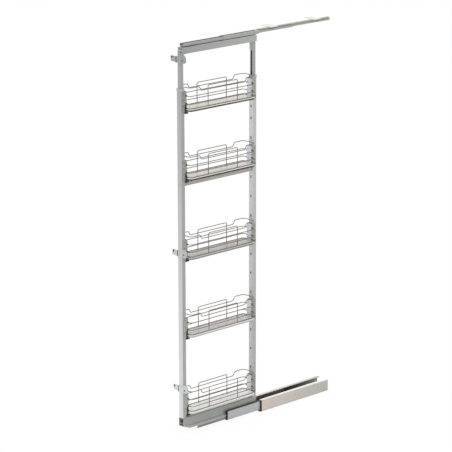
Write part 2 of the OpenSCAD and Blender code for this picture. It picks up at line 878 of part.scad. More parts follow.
// back is the gap that a pad fills where the bracket sits on the shallower upper post
module door_bracket(z, back = 0)
    color(SILVER)
        difference() {
            union() {
                if (back > 0)
                    translate([-upper_w / 2, y_front, z - door_h / 2])
                        cube([upper_w, back, door_h]);
                // plate across the post, its ear chamfered
                translate([0, y_front, z])
                    rotate([90, 0, 0])
                        linear_extrude(door_t)
                            polygon([
                                [-post_w / 2 - 3, -door_h / 2], [door_right - 10, -door_h / 2 + 2],
                                [door_right, -door_h / 2 + 10], [door_right, door_rise - 12],
                                [door_right - 11, door_rise], [post_w / 2 + 6, door_rise],
                                [post_w / 2 - 2, door_h / 2], [-post_w / 2 - 3, door_h / 2]
                            ]);
                // step back to the tab
                translate([-post_w / 2 - 3, y_front - door_t, z - door_h / 2])
                    cube([door_t, joggle + door_t, door_h]);
                translate([door_left, y_front + joggle - door_t, z])
                    rotate([-90, 0, 0])
                        linear_extrude(door_t)
                            translate([door_tab / 2, -door_h / 2 + 1])
                                round_rect(door_tab, door_h - 2, 5);
            }
            // slot for the door screw
            for (dz = [-1, 1] * (door_slot / 2 - door_slot_r))
                translate([door_hole_x, y_front - door_t - CUT, z + door_hole_up + dz])
                    rotate([-90, 0, 0])
                        cylinder(r = door_slot_r, h = joggle + 2 * door_t);
            translate([door_hole_x - door_slot_r, y_front - door_t - CUT, z + door_hole_up - door_slot / 2 + door_slot_r])
                cube([2 * door_slot_r, joggle + 2 * door_t, door_slot - 2 * door_slot_r]);
            for (x = [0, post_w / 2 + 13])
                translate([x, y_front - door_t - CUT, z])
                    rotate([-90, 0, 0])
                        cylinder(r = door_screw_r, h = door_t + back + 2 * CUT);
        }

module door_bracket_bottom()
    door_bracket(door_z[0]);
module door_bracket_middle()
    door_bracket(door_z[1]);
module door_bracket_top()
    door_bracket(door_z[2], (post_d - upper_d) / 2);

module door_screw(z)
    color(BLACK)
        translate([0, y_front - door_t, z])
            screw_y(door_screw_r, door_t + post_t + 6, 4, 2);

module door_bracket_screws()
    for (z = [door_low_z, door_mid_z])
        door_screw(z);
module top_door_screw()
    door_screw(door_high_z);

// ---------------------------------------------------------------- baskets

function plan_ring(z) = [
    [-side_x, ring_y0, z], [-side_x, ring_y1, z], [side_x, ring_y1, z], [side_x, ring_y0, z]
];

// One long side of the main wire, from the front end to the back end
function main_side(x) = [
    [x, ring_y0, main_wire + end_rise], [x, ring_y0 + raised_len, main_wire + end_rise],
    [x, ring_y0 + raised_len + slope_len, main_wire], [x, ring_y1 - raised_len - slope_len, main_wire],
    [x, ring_y1 - raised_len, main_wire + end_rise], [x, ring_y1, main_wire + end_rise]
];
function reversed(p) = [for (i = [len(p) - 1 : -1 : 0]) p[i]];

module basket_wires(z)
    color(CHROME)
        translate([0, 0, z]) {
            for (h = [0, low_wire, mid_wire])
                bent_wire(plan_ring(h), [for (i = [0 : 3]) ring_r], wire_d);
            swept_wire(concat(main_side(-side_x), reversed(main_side(side_x))),
                       [for (s = [0, 1]) each [ring_r, bend_r, bend_r, bend_r, bend_r, ring_r]], wire_d, 8);
            for (x = [-hoop_x, hoop_x])
                bent_wire([
                    [x, y_front + hoop_start, tray_top], [x, y_front + hoop_start, hoop_h],
                    [x, y_front + hoop_start + hoop_len, hoop_h], [x, y_front + hoop_start + hoop_len, tray_top]
                ], [0, bend_r, bend_r, 0], wire_d, open = true);
        }

// Section of the tray's turned-down edge, from a corner's centre outwards
module tray_edge_section()
    difference() {
        union() {
            square([tray_r - tray_edge, tray_h]);
            square([tray_r, tray_h - tray_edge]);
            translate([tray_r - tray_edge, tray_h - tray_edge])
                circle(tray_edge);
        }
        translate([-CUT, -CUT])
            square([tray_r - tray_edge + CUT, tray_h - tray_t + CUT]);
        translate([-CUT, -CUT])
            square([tray_r - tray_t + CUT, tray_h - tray_edge + CUT]);
        translate([tray_r - tray_edge, tray_h - tray_edge])
            circle(tray_edge - tray_t);
    }

module basket_tray(z) {
    y0 = ring_y0 - wire_d / 2;
    y1 = ring_y1 + wire_d / 2;
    cx = rim_x - tray_r;
    bottom = z + tray_top - tray_h;
    notch_y = web_in + hook_t + notch_side;
    color(PALE)
        difference() {
            union() {
                for (c = [[cx, y0 + tray_r, 270], [cx, y1 - tray_r, 0], [-cx, y1 - tray_r, 90], [-cx, y0 + tray_r, 180]])
                    translate([c[0], c[1], bottom])
                        rotate([0, 0, c[2]])
                            rotate_extrude(angle = 90)
                                tray_edge_section();
                for (side = [0, 1])
                    translate([0, (y0 + y1) / 2, bottom])
                        rotate([0, 0, side * 180])
                            translate([cx, 0, 0])
                                rotate([90, 0, 0])
                                    linear_extrude(y1 - y0 - 2 * tray_r, center = true)
                                        tray_edge_section();
                for (end = [[y1 - tray_r, 90], [y0 + tray_r, -90]])
                    translate([0, end[0], bottom])
                        rotate([0, 0, end[1]])
                            rotate([90, 0, 0])
                                linear_extrude(2 * cx, center = true)
                                    tray_edge_section();
                translate([-cx, y0 + tray_r, bottom + tray_h - tray_t])
                    cube([2 * cx, y1 - y0 - 2 * tray_r, tray_t]);
            }
            // room for the end brackets
            translate([-hook_w / 2 - notch_side, y_front_in, bottom - CUT])
                cube([hook_w + 2 * notch_side, notch_y, tray_h + 2 * CUT]);
            translate([-hook_w / 2 - notch_side, y_back_in - notch_y, bottom - CUT])
                cube([hook_w + 2 * notch_side, notch_y, tray_h + 2 * CUT]);
        }
}

// A bracket drawn for a post whose inner face is at y = 0, the basket on the +Y side
module end_bracket(z) {
    low = z - hook_below;
    color(SILVER) {
        difference() {
            translate([-hook_w / 2, -hook_hug, low])
                cube([hook_w, hook_hug + web_in + hook_t, hook_h]);
            translate([-hook_w / 2 + hook_t, -hook_hug - CUT, low - CUT])
                cube([hook_w - 2 * hook_t, hook_hug + web_in + CUT, hook_h + 2 * CUT]);
            // the wires pass through the sides, behind the web
            for (h = [0, low_wire, mid_wire])
                translate([0, end_gap, z + h])
                    rotate([0, 90, 0])
                        cylinder(d = hook_bore, h = hook_w + 2 * CUT, center = true);
            for (h = [low_wire / 2, (low_wire + mid_wire) / 2, mid_wire + 12])
                translate([0, -hook_hug / 2, z + h])
                    rotate([0, 90, 0])
                        cylinder(r = 2.6, h = hook_w + 2 * CUT, center = true);
            translate([0, -post_d / 2, z - screw_drop])
                rotate([0, 90, 0])
                    cylinder(r = basket_screw_r, h = hook_w + 2 * CUT, center = true);
        }
        // hook through the post's slot
        translate([-slot_w / 2 + 1, -post_t - 3, z + neck_z])
            cube([slot_w - 2, post_t + 3 + web_in + 0.5, neck_h]);
        translate([-slot_w / 2 + 1, -post_t - 3, z + neck_z - tip_h])
            cube([slot_w - 2, 2.4, tip_h + neck_h]);
    }
}

module front_bracket(z)
    translate([0, y_front_in, 0])
        end_bracket(z);
module rear_bracket(z)
    translate([0, y_back_in, 0])
        mirror([0, 1, 0])
            end_bracket(z);

// Black latches round the lower ends of the front brackets
module basket_clips()
    color(BLACK)
        for (z = basket_z)
            translate([0, y_front_in, z - hook_below - clip_foot])
                difference() {
                    translate([-hook_w / 2 - clip_t, 0, 0])
                        cube([hook_w + 2 * clip_t, web_in + hook_t + 8, clip_up + clip_foot]);
                    translate([-hook_w / 2, -CUT, clip_foot])
                        cube([hook_w, web_in + hook_t + 8 + 2 * CUT, clip_up + CUT]);
                    // the rear part is only the foot under the tray
                    translate([-hook_w / 2 - clip_t - CUT, web_in - wire_d, clip_foot - 0.8])
                        cube([hook_w + 2 * (clip_t + CUT), wire_d + hook_t + 8 + CUT, clip_up + 2 * CUT]);
                }

// Screws through the rear brackets' sides into the post
module basket_screws()
    color(BLACK)
        for (z = basket_z, side = [-1, 1])
            translate([side * hook_w / 2, post_y[1], z - screw_drop])
                rotate([0, side * 90, 0]) {
                    translate([0, 0, -hook_t - hook_play - post_t])
                        cylinder(r = basket_screw_r, h = hook_t + hook_play + post_t);
                    cylinder(r1 = 3.6, r2 = 3, h = 1.6);
                }

cabinet_channel();
channel_stop();
channel_guide();
outer_cages();
outer_balls();
middle_profile();
middle_front_cap();
inner_cages();
inner_balls();
pull_out_rail();
rail_rivets();
bottom_beam();
front_lower_post();
rear_lower_post();
post_plugs();
post_screws();
cross_bar();
cross_bar_screws();
front_collar();
rear_collar();
collar_screws();
front_upper_post();
rear_upper_post();
top_beam();
front_top_bracket();
rear_top_bracket();
top_frame_rail();
top_rail_spacers();
damper_housing();
damper_end_cap();
top_middle_rail();
top_cabinet_rail();
top_wings();
door_bracket_bottom();
door_bracket_middle();
door_bracket_top();
door_bracket_screws();
top_door_screw();
basket_clips();
basket_screws();
basket_wires(basket_z[0]);  // basket_1_wires
basket_wires(basket_z[1]);  // basket_2_wires
basket_wires(basket_z[2]);  // basket_3_wires
basket_wires(basket_z[3]);  // basket_4_wires
basket_wires(basket_z[4]);  // basket_5_wires
basket_tray(basket_z[0]);  // basket_1_tray
basket_tray(basket_z[1]);  // basket_2_tray
basket_tray(basket_z[2]);  // basket_3_tray
basket_tray(basket_z[3]);  // basket_4_tray
basket_tray(basket_z[4]);  // basket_5_tray
front_bracket(basket_z[0]);  // basket_1_front_bracket
front_bracket(basket_z[1]);  // basket_2_front_bracket
front_bracket(basket_z[2]);  // basket_3_front_bracket
front_bracket(basket_z[3]);  // basket_4_front_bracket
front_bracket(basket_z[4]);  // basket_5_front_bracket
rear_bracket(basket_z[0]);  // basket_1_rear_bracket
rear_bracket(basket_z[1]);  // basket_2_rear_bracket
rear_bracket(basket_z[2]);  // basket_3_rear_bracket
rear_bracket(basket_z[3]);  // basket_4_rear_bracket
rear_bracket(basket_z[4]);  // basket_5_rear_bracket
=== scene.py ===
"""Looks of the pull-out larder unit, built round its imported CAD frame.

The frame gives every node its place. Wires, end brackets, latches, screws and trims are built here
in mesh code from the sizes that the source uses. Lengths of meshes are millimetres until a mesh is
stored. Finishes, the lamp and the camera are in metres.
"""

import json
import logging
import math
from dataclasses import dataclass, field
from enum import Enum

import bmesh
import bpy
from mathutils import Matrix, Vector

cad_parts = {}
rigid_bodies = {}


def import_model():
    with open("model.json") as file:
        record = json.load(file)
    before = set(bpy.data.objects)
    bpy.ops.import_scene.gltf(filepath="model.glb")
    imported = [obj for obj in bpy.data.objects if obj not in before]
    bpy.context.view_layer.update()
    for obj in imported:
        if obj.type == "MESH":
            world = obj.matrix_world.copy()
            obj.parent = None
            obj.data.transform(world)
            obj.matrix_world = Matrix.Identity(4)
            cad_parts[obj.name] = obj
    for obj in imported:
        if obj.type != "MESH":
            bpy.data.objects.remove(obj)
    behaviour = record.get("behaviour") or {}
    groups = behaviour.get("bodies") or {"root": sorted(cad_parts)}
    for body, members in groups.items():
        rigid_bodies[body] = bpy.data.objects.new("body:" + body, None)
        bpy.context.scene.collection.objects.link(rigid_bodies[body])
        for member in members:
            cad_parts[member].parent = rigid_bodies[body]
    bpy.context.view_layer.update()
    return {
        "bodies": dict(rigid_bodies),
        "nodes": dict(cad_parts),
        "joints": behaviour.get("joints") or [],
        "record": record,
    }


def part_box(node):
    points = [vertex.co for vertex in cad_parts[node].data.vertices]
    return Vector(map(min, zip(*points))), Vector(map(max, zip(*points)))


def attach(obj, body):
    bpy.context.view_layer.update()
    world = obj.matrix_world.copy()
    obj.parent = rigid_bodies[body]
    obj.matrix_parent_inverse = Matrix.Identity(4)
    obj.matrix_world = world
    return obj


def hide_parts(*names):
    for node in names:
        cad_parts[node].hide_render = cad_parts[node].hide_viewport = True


LOG = logging.getLogger("larder_unit")
MM = 0.001
PHOTO_PX = 452
BASKETS = range(1, 6)
SIDES = (-1, 1)
HERE = Matrix.Identity(4)

Mesh = bpy.types.Mesh
Node = bpy.types.Node
Socket = bpy.types.NodeSocket
RGB = tuple[float, float, float]
Point = tuple[float, float, float]
Outline = list[tuple[float, float]]
Sockets = dict[str, str]

# tones: a finish's dark one from its light one, and its zinc crystals' from its dark one
WHITE: RGB = (1.0, 1.0, 1.0)
BLACK: RGB = (0.0, 0.0, 0.0)
DARK_SHARE = 0.94
CRYSTAL_SHARE = 0.72

# the reach of the slide's painted shade along its foot and of the painted shade and reflection on a
# tray's skirt, measured from the lowest point of their nodes, in metres
SHADED_FOOT = 0.0022
SKIRT_REACH = (-0.003, 0.0085)

# an edge is level under the first, in millimetres, and a corner straight under the second, in radians
LEVEL = 1e-6
STRAIGHT = 1e-4

RELIEF_DEPTH = 0.0004
COAT_ROUGHNESS = 0.12
FINE_NOISE = {"Scale": 1.0, "Detail": 3.0, "Roughness": 0.6}
BROAD_NOISE = {"Scale": 0.22, "Detail": 1.0}
PATCH_NOISE = {"Scale": 9.0, "Detail": 5.0, "Roughness": 0.65}

# material slots with their finishes
MOULDING = ("black_plastic", "black moulding")
PLATE = ("bracket_steel", "bracket plate")


def srgb(red: int, green: int, blue: int) -> RGB:
    """Turns a colour written as 0 to 255 into the linear values that shaders use.

    Args:
        red: Red, 0 to 255.
        green: Green, 0 to 255.
        blue: Blue, 0 to 255.

    Returns:
        The linear colour.
    """
    shares = [part / 255 for part in (red, green, blue)]
    return tuple(s / 12.92 if s <= 0.04045 else ((s + 0.055) / 1.055) ** 2.4 for s in shares)


def shaded(color: RGB, share: float) -> RGB:
    """Returns a colour at a share of its brightness."""
    return tuple(share * part for part in color)


# ---------------------------------------------------------------- shaders


class Grain(Enum):
    """How the fine lines of a surface run; the value is their density along X, Y and Z, per metre."""

    ALONG_Y = (420.0, 7.0, 420.0)
    ALONG_Z = (420.0, 420.0, 7.0)
    EVEN = (260.0, 260.0, 260.0)


class Effect(Enum):
    """The effects that several finishes share; the value is the name of the node group."""

    LINES = "rolling_lines"
    BLOOM = "zinc_bloom"
    MARKS = "handling_marks"
    FACING = "face_direction"
    BAND = "height_band"


class Tree:
    """Adds and links the nodes of one shader tree."""

    def __init__(self, tree: bpy.types.NodeTree) -> None:
        """Keeps the tree and empties it."""
        self.tree = tree
        tree.nodes.clear()

    def add(self, kind: str, settings: dict | None = None, **inputs: object) -> Node:
        """Adds one node.

        Args:
            kind: Blender's name of the node type.
            settings: Properties to set on the node itself.
            inputs: Socket values, or sockets to link, by socket name with _ for a space.

        Returns:
            The new node.
        """
        node = self.tree.nodes.new(kind)
        for name, value in (settings or {}).items():
            setattr(node, name, value)
        for name, value in inputs.items():
            self.put(node, name.replace("_", " "), value)
        return node

    def put(self, node: Node, name: str | int, value: object) -> None:
        """Sets or links one input.

        Args:
            node: The node that has the input.
            name: The input's name or number.
            value: A constant, or the output socket to link from.
        """
        socket = node.inputs[name]
        if isinstance(value, Socket):
            self.tree.links.new(value, socket)
        elif isinstance(value, tuple) and len(value) == 3 and socket.type == "RGBA":
            socket.default_value = (*value, 1.0)
        else:
            socket.default_value = value

    def effect(self, effect: Effect, **inputs: object) -> Node:
        """Places the node group of a shared effect.

        Args:
            effect: The effect.
            inputs: Values or sockets for its inputs, by name.

        Returns:
            The group's node.
        """
        return self.add("ShaderNodeGroup", {"node_tree": bpy.data.node_groups[effect.value]}, **inputs)

    def place(self) -> Socket:
        """Returns where the shaded point is in the frame, in metres."""
        return self.add("ShaderNodeTexCoord").outputs["Object"]

    def along(self, axis: int) -> Socket:
        """Returns the shaded point's place along X, Y or Z, numbered from 0."""
        return self.add("ShaderNodeSeparateXYZ", Vector=self.place()).outputs[axis]

    def away(self, axis: int, middle: float = 0.0) -> Socket:
        """Returns how far the shaded point is from a middle, along one axis."""
        return self.math("ABSOLUTE", self.math("SUBTRACT", self.along(axis), middle))

    def math(self, operation: str, first: object, second: object = 0.0, clamp: bool = False) -> Socket:
        """Adds a Math node.

        Args:
            operation: Blender's name of the operation.
            first: The first value or socket.
            second: The second value or socket.
            clamp: True keeps the result between 0 and 1.

        Returns:
            The result.
        """
        node = self.add("ShaderNodeMath", {"operation": operation, "use_clamp": clamp})
        self.put(node, 0, first)
        self.put(node, 1, second)
        return node.outputs[0]

    def average(self, share: float, first: Socket, second: Socket) -> Socket:
        """Returns the weighted average of two values, from the first one's share."""
        parts = (self.math("MULTIPLY", first, share), self.math("MULTIPLY", second, 1.0 - share))
        return self.math("ADD", *parts)

    def blend(self, factor: object, first: object, second: object) -> Socket:
        """Mixes two colours.

        Args:
            factor: How much of the second colour shows.
            first: The first colour or socket.
            second: The second colour or socket.

        Returns:
            The mixed colour.
        """
        node = self.add("ShaderNodeMix", {"data_type": "RGBA"})
        for number, value in ((0, factor), (6, first), (7, second)):
            self.put(node, number, value)
        return node.outputs[2]

    def spread(
        self, value: Socket, low: float, high: float, to_low: float = 0.0, to_high: float = 1.0
    ) -> Socket:
        """Maps a value from one range to another, clamped.

        Args:
            value: The value to map.
            low: Start of its range.
            high: End of its range.
            to_low: Result at the start.
            to_high: Result at the end.

        Returns:
            The mapped value.
        """
        node = self.add("ShaderNodeMapRange", Value=value, From_Min=low, From_Max=high)
        self.put(node, "To Min", to_low)
        self.put(node, "To Max", to_high)
        return node.outputs[0]

    def seen(self) -> Socket:
        """Tells the rays that see a surface from those that only light it.

        Returns:
            1 for rays from the camera, a reflection or a see-through surface, otherwise 0.
        """
        rays = self.add("ShaderNodeLightPath").outputs
        some = self.math("MAXIMUM", rays["Is Camera Ray"], rays["Is Glossy Ray"])
        return self.math("MAXIMUM", some, rays["Is Transmission Ray"])

    def output(self, kind: str, factor: Socket, first: Node, second: Node) -> None:
        """Ends the tree in a mix of two shaders.

        Args:
            kind: Blender's name of the output node.
            factor: How much of the second shader shows.
            first: The first shader.
            second: The second shader.
        """
        mix = self.add("ShaderNodeMixShader")
        for number, value in enumerate((factor, first.outputs[0], second.outputs[0])):
            self.put(mix, number, value)
        self.add(kind, Surface=mix.outputs[0])


@dataclass
class Effects:
    """The shader node groups that more than one finish uses, each built once."""

    fine_share: float = 0.6
    line_range: tuple[float, float] = (0.36, 0.64)
    crystal_share: float = 0.35
    crystal_range: tuple[float, float] = (0.25, 0.75)
    mark_range: tuple[float, float] = (0.35, 0.65)
    facing_range: tuple[float, float] = (0.5, 0.85)

    def build(self) -> None:
        """Builds every group."""
        for part in (self.lines, self.bloom, self.marks, self.facing, self.shade_band):
            part()

    @staticmethod
    def start(effect: Effect, inputs: Sockets, outputs: Sockets) -> tuple[Tree, dict, Node]:
        """Makes an empty group with its sockets.

        Args:
            effect: The effect that the group makes.
            inputs: Kind of socket by input name.
            outputs: Kind of socket by output name.

        Returns:
            The tree, its input sockets by name, and its output node.
        """
        group = bpy.data.node_groups.new(effect.value, "ShaderNodeTree")
        for in_out, sockets in (("INPUT", inputs), ("OUTPUT", outputs)):
            for name, kind in sockets.items():
                group.interface.new_socket(name=name, in_out=in_out, socket_type="NodeSocket" + kind)
        tree = Tree(group)
        entry = tree.add("NodeGroupInput")
        return tree, {s.name: s for s in entry.outputs if s.name}, tree.add("NodeGroupOutput")

    def lines(self) -> None:
        """Lines left by rolling and drawing: a colour between two tones, and their height."""
        tree, given, result = self.start(
            Effect.LINES,
            {"Density": "Vector", "Light": "Color", "Dark": "Color"},
            {"Color": "Color", "Height": "Float"},
        )
        scaled = tree.add("ShaderNodeVectorMath", {"operation": "MULTIPLY"})
        tree.put(scaled, 0, tree.place())
        tree.put(scaled, 1, given["Density"])
        place = scaled.outputs[0]
        fine = tree.add("ShaderNodeTexNoise", Vector=place, **FINE_NOISE)
        broad = tree.add("ShaderNodeTexNoise", Vector=place, **BROAD_NOISE)
        both = tree.average(self.fine_share, fine.outputs[0], broad.outputs[0])
        factor = tree.spread(both, *self.line_range)
        tree.put(result, "Color", tree.blend(factor, given["Light"], given["Dark"]))
        tree.put(result, "Height", both)

    def bloom(self) -> None:
        """Cloudy crystals of a zinc coat, as a mask."""
        tree, given, result = self.start(Effect.BLOOM, {"Size": "Float"}, {"Mask": "Float"})
        place = tree.place()
        warp = tree.add("ShaderNodeTexNoise", Scale=given["Size"], Detail=2.0, Vector=place)
        cells = tree.add("ShaderNodeTexVoronoi", Scale=given["Size"], Randomness=1.0, Vector=place)
        tone = tree.add("ShaderNodeSeparateColor", Color=cells.outputs["Color"])
        mixed = tree.average(self.crystal_share, tone.outputs[0], warp.outputs[0])
        tree.put(result, "Mask", tree.spread(mixed, *self.crystal_range))

    def marks(self) -> None:
        """Handling marks and a thin film of dust, as a value between two roughnesses."""
        tree, given, result = self.start(
            Effect.MARKS, {"Smooth": "Float", "Dull": "Float"}, {"Roughness": "Float"}
        )
        patches = tree.add("ShaderNodeTexNoise", Vector=tree.place(), **PATCH_NOISE)
        share = tree.spread(patches.outputs[0], *self.mark_range)
        span = tree.math("MULTIPLY", tree.math("SUBTRACT", given["Dull"], given["Smooth"]), share)
        tree.put(result, "Roughness", tree.math("ADD", span, given["Smooth"]))

    def facing(self) -> None:
        """Masks of the faces that look along Y, up, and forward against Y."""
        tree, _, result = self.start(
            Effect.FACING, {}, {"Front": "Float", "Top": "Float", "Forward": "Float"}
        )
        normal = tree.add("ShaderNodeTexCoord").outputs["Normal"]
        parts = tree.add("ShaderNodeSeparateXYZ", Vector=normal)
        low, high = self.facing_range
        tree.put(result, "Front", tree.spread(tree.math("ABSOLUTE", parts.outputs[1]), low, high))
        tree.put(result, "Top", tree.spread(parts.outputs[2], low, high))
        tree.put(result, "Forward", tree.spread(parts.outputs[1], -high, -low, 1.0, 0.0))

    def shade_band(self) -> None:
        """A mask that is 1 between two heights, with soft ends."""
        tree, given, result = self.start(
            Effect.BAND, {"Low": "Float", "High": "Float", "Soft": "Float"}, {"Mask": "Float"}
        )
        height = tree.along(2)
        above = tree.math("DIVIDE", tree.math("SUBTRACT", height, given["Low"]), given["Soft"])
        below = tree.math("DIVIDE", tree.math("SUBTRACT", given["High"], height), given["Soft"])
        tree.put(result, "Mask", tree.math("MINIMUM", above, below, True))


@dataclass(frozen=True)
class PaintedLightFade:
    """Painted light and shade: a change of brightness along one axis, where the lamps light a part more
    or less.
    """

    axis: int
    start: float
    end: float
    first: float
    last: float

    def apply(self, tree: Tree, color: Socket) -> Socket:
        """Scales a colour by its place.

        Args:
            tree: The material's tree.
            color: The colour so far.

        Returns:
            The scaled colour.
        """
        share = tree.spread(tree.along(self.axis), self.start, self.end, self.first, self.last)
        node = tree.add("ShaderNodeVectorMath", {"operation": "SCALE"}, Scale=share)
        tree.put(node, 0, color)
        return node.outputs[0]


@dataclass(frozen=True)
class PaintedShadeBand:
    """Painted shade between two heights, as on a tray's skirt, where it also stands for a dark
    reflection, and on the lower part of a rail.
    """

    low: float
    high: float
    color: RGB
    soft: float = 0.0012

    def apply(self, tree: Tree, color: Socket) -> Socket:
        """Paints the shade over a colour between the two heights.

        Args:
            tree: The material's tree.
            color: The colour so far.

        Returns:
            The new colour.
        """
        shade_band = tree.effect(Effect.BAND, Low=self.low, High=self.high, Soft=self.soft)
        return tree.blend(shade_band.outputs["Mask"], color, self.color)


@dataclass(frozen=True)
class Finish:
    """A rolled, drawn or painted metal, or a moulding, with its own tones and grain."""

    name: str
    light: RGB
    dark: RGB
    metallic: float
    smooth: float
    dull: float
    grain: Grain = Grain.EVEN
    bloom: float = 0.0
    bloom_size: float = 60.0
    bump: float = 0.05
    coat: float = 0.0
    # painted light by a face's direction: web tones the faces that look along Y, rim is a painted
    # highlight on the faces that do not look up, and face scales the faces that look forward against Y
    web: RGB | None = None
    rim: RGB | None = None
    painted_light_fade: PaintedLightFade | None = None
    face: PaintedLightFade | None = None
    shade_band: PaintedShadeBand | None = None

    def build(self) -> bpy.types.Material:
        """Makes the material.

        Returns:
            The material.
        """
        material = bpy.data.materials.new(self.name)
        material.use_nodes = True
        tree = Tree(material.node_tree)
        lines = tree.effect(Effect.LINES, Density=self.grain.value, Light=self.light, Dark=self.dark)
        marks = tree.effect(Effect.MARKS, Smooth=self.smooth, Dull=self.dull)
        relief = tree.add(
            "ShaderNodeBump", Strength=self.bump, Distance=RELIEF_DEPTH, Height=lines.outputs["Height"]
        )
        shader = tree.add(
            "ShaderNodeBsdfPrincipled",
            Base_Color=self.tone(tree, lines.outputs["Color"]),
            Metallic=self.metallic,
            Roughness=marks.outputs["Roughness"],
            Normal=relief.outputs[0],
            Coat_Weight=self.coat,
            Coat_Roughness=COAT_ROUGHNESS,
        )
        tree.add("ShaderNodeOutputMaterial", Surface=shader.outputs[0])
        return material

    def tone(self, tree: Tree, color: Socket) -> Socket:
        """Adds the painted highlight of rims, the painted light of webs, the zinc's clouds, the painted
        light along an axis and on forward faces, and the painted shade between two heights.

        Args:
            tree: The material's tree.
            color: The colour so far.

        Returns:
            The new colour.
        """
        # painted highlight: faces that do not look up take the rim tone
        if self.rim:
            color = tree.blend(tree.effect(Effect.FACING).outputs["Top"], self.rim, color)
        # painted light: faces that look along Y take the web tone
        if self.web:
            color = tree.blend(tree.effect(Effect.FACING).outputs["Front"], color, self.web)
        if self.bloom:
            cloud = tree.effect(Effect.BLOOM, Size=self.bloom_size)
            factor = tree.math("MULTIPLY", cloud.outputs["Mask"], self.bloom)
            color = tree.blend(factor, color, shaded(self.dark, CRYSTAL_SHARE))
        if self.painted_light_fade:
            color = self.painted_light_fade.apply(tree, color)
        # painted light: faces that look forward against Y are scaled by their own gradient
        if self.face:
            forward = tree.effect(Effect.FACING).outputs["Forward"]
            color = tree.blend(forward, color, self.face.apply(tree, color))
        if self.shade_band:
            color = self.shade_band.apply(tree, color)
        return color


@dataclass(frozen=True)
class ChannelFinish(Finish):
    """A channel, plain or ribbed outside, with painted shade inside, dark at the front and grey at the
    back.
    """

    inner_half: float = 0.0402
    floor: float = 0.001
    roof: float = 0.0602
    soft: float = 0.0004
    dark_until: float = 0.2
    grey_from: float = 0.46
    painted_inner_shade: RGB = (0.012, 0.011, 0.010)
    painted_inner_grey: RGB = (0.36, 0.355, 0.34)
    painted_far_shade: RGB = (0.5, 0.48, 0.45)
    painted_top_tone: RGB = (0.85, 0.82, 0.79)
    painted_top_from: float = 0.0
    painted_rib_shade: float = 0.0
    rib_step: float = 0.0085
    foot: float = 0.0

    def tone(self, tree: Tree, color: Socket) -> Socket:
        """Paints by place the painted shade towards the back, in the valleys between ribs, at the foot
        and inside, and a painted tone on top faces.

        Args:
            tree: The material's tree.
            color: The colour so far.

        Returns:
            The new colour.
        """
        x, y, z = (tree.along(axis) for axis in range(3))
        # painted shade: the outside darkens towards the back
        color = tree.blend(tree.spread(y, 0.0, self.grey_from), color, self.painted_far_shade)
        # painted shade in the valleys between ribs, and a painted shadow along the foot
        if self.painted_rib_shade:
            wave = tree.math("SINE", tree.math("MULTIPLY", z, 2 * math.pi / self.rib_step))
            rib_shade_share = tree.math("MULTIPLY", tree.math("ADD", wave, 1.0), self.painted_rib_shade)
            color = tree.blend(rib_shade_share, color, BLACK)
            color = tree.blend(tree.math("LESS_THAN", z, self.foot), color, self.painted_inner_shade)
        # painted tone on the top faces: a highlight on the channel, a shadow on the slide
        top = tree.effect(Effect.FACING).outputs["Top"]
        near = tree.math("MULTIPLY", top, tree.math("GREATER_THAN", x, self.painted_top_from))
        color = tree.blend(near, color, self.painted_top_tone)
        # painted shade inside the channel, dark at the front and grey towards the back
        across = tree.math("LESS_THAN", tree.away(0), self.inner_half)
        inside = tree.effect(Effect.BAND, Low=self.floor, High=self.roof, Soft=self.soft)
        inner_shade_tone = tree.blend(tree.spread(y, self.dark_until, self.grey_from), self.painted_inner_shade, self.painted_inner_grey)
        return tree.blend(tree.math("MULTIPLY", across, inside.outputs["Mask"]), color, inner_shade_tone)


@dataclass(frozen=True)
class TubeFinish(Finish):
    """A post or beam whose inside, seen through its slots and open ends, has painted shade in a post
    and painted light in a beam.

    The axis is the one across which the tube is measured beside X: 1 for a post, 2 for a beam.
    """

    axis: int = 1
    half: float = 0.0
    near: float = 0.0
    far: float = 0.0
    wall: float = 0.0009
    inner: RGB = BLACK

    def tone(self, tree: Tree, color: Socket) -> Socket:
        """Paints the inside within the tube's walls, painted shade in a post and painted light in a
        beam.

        Args:
            tree: The material's tree.
            color: The colour so far.

        Returns:
            The new colour.
        """
        color = super().tone(tree, color)
        reach = (self.far - self.near) / 2 - self.wall
        along = tree.math("LESS_THAN", tree.away(self.axis, (self.near + self.far) / 2), reach)
        across = tree.math("LESS_THAN", tree.away(0), self.half - self.wall)
        return tree.blend(tree.math("MULTIPLY", across, along), color, self.inner)


@dataclass(frozen=True)
class PlateFinish(Finish):
    """The door brackets' plate, with painted shade on its ear and a painted shadow line in the corner
    of the step beside the post.
    """

    line_middle: float = -0.0178
    line_half: float = 0.0048
    line: RGB = (0.004, 0.004, 0.004)
    ear_from: float = 0.0154
    ear_soft: float = 0.001
    ear_shade_share: float = 0.86

    def tone(self, tree: Tree, color: Socket) -> Socket:
        """Paints the ear's painted shade and the painted shadow line by their place across the plate.

        Args:
            tree: The material's tree.
            color: The colour so far.

        Returns:
            The new colour.
        """
        # painted shade: the ear is darker
        ear = PaintedLightFade(0, self.ear_from, self.ear_from + self.ear_soft, 1.0, self.ear_shade_share)
        color = ear.apply(tree, super().tone(tree, color))
        # painted shadow: a dark line in the corner of the step beside the post
        away = tree.away(0, self.line_middle)
        line = tree.spread(away, self.line_half, 1.1 * self.line_half, 1.0, 0.0)
        return tree.blend(line, color, self.line)


# ---------------------------------------------------------------- mesh code


def at(x: float, y: float, z: float, axis: str = "Z", quarters: int = 0) -> Matrix:
    """Returns the move to a point, after quarter turns round an axis."""
    return Matrix.Translation((x, y, z)) @ Matrix.Rotation(quarters * math.pi / 2, 4, axis)


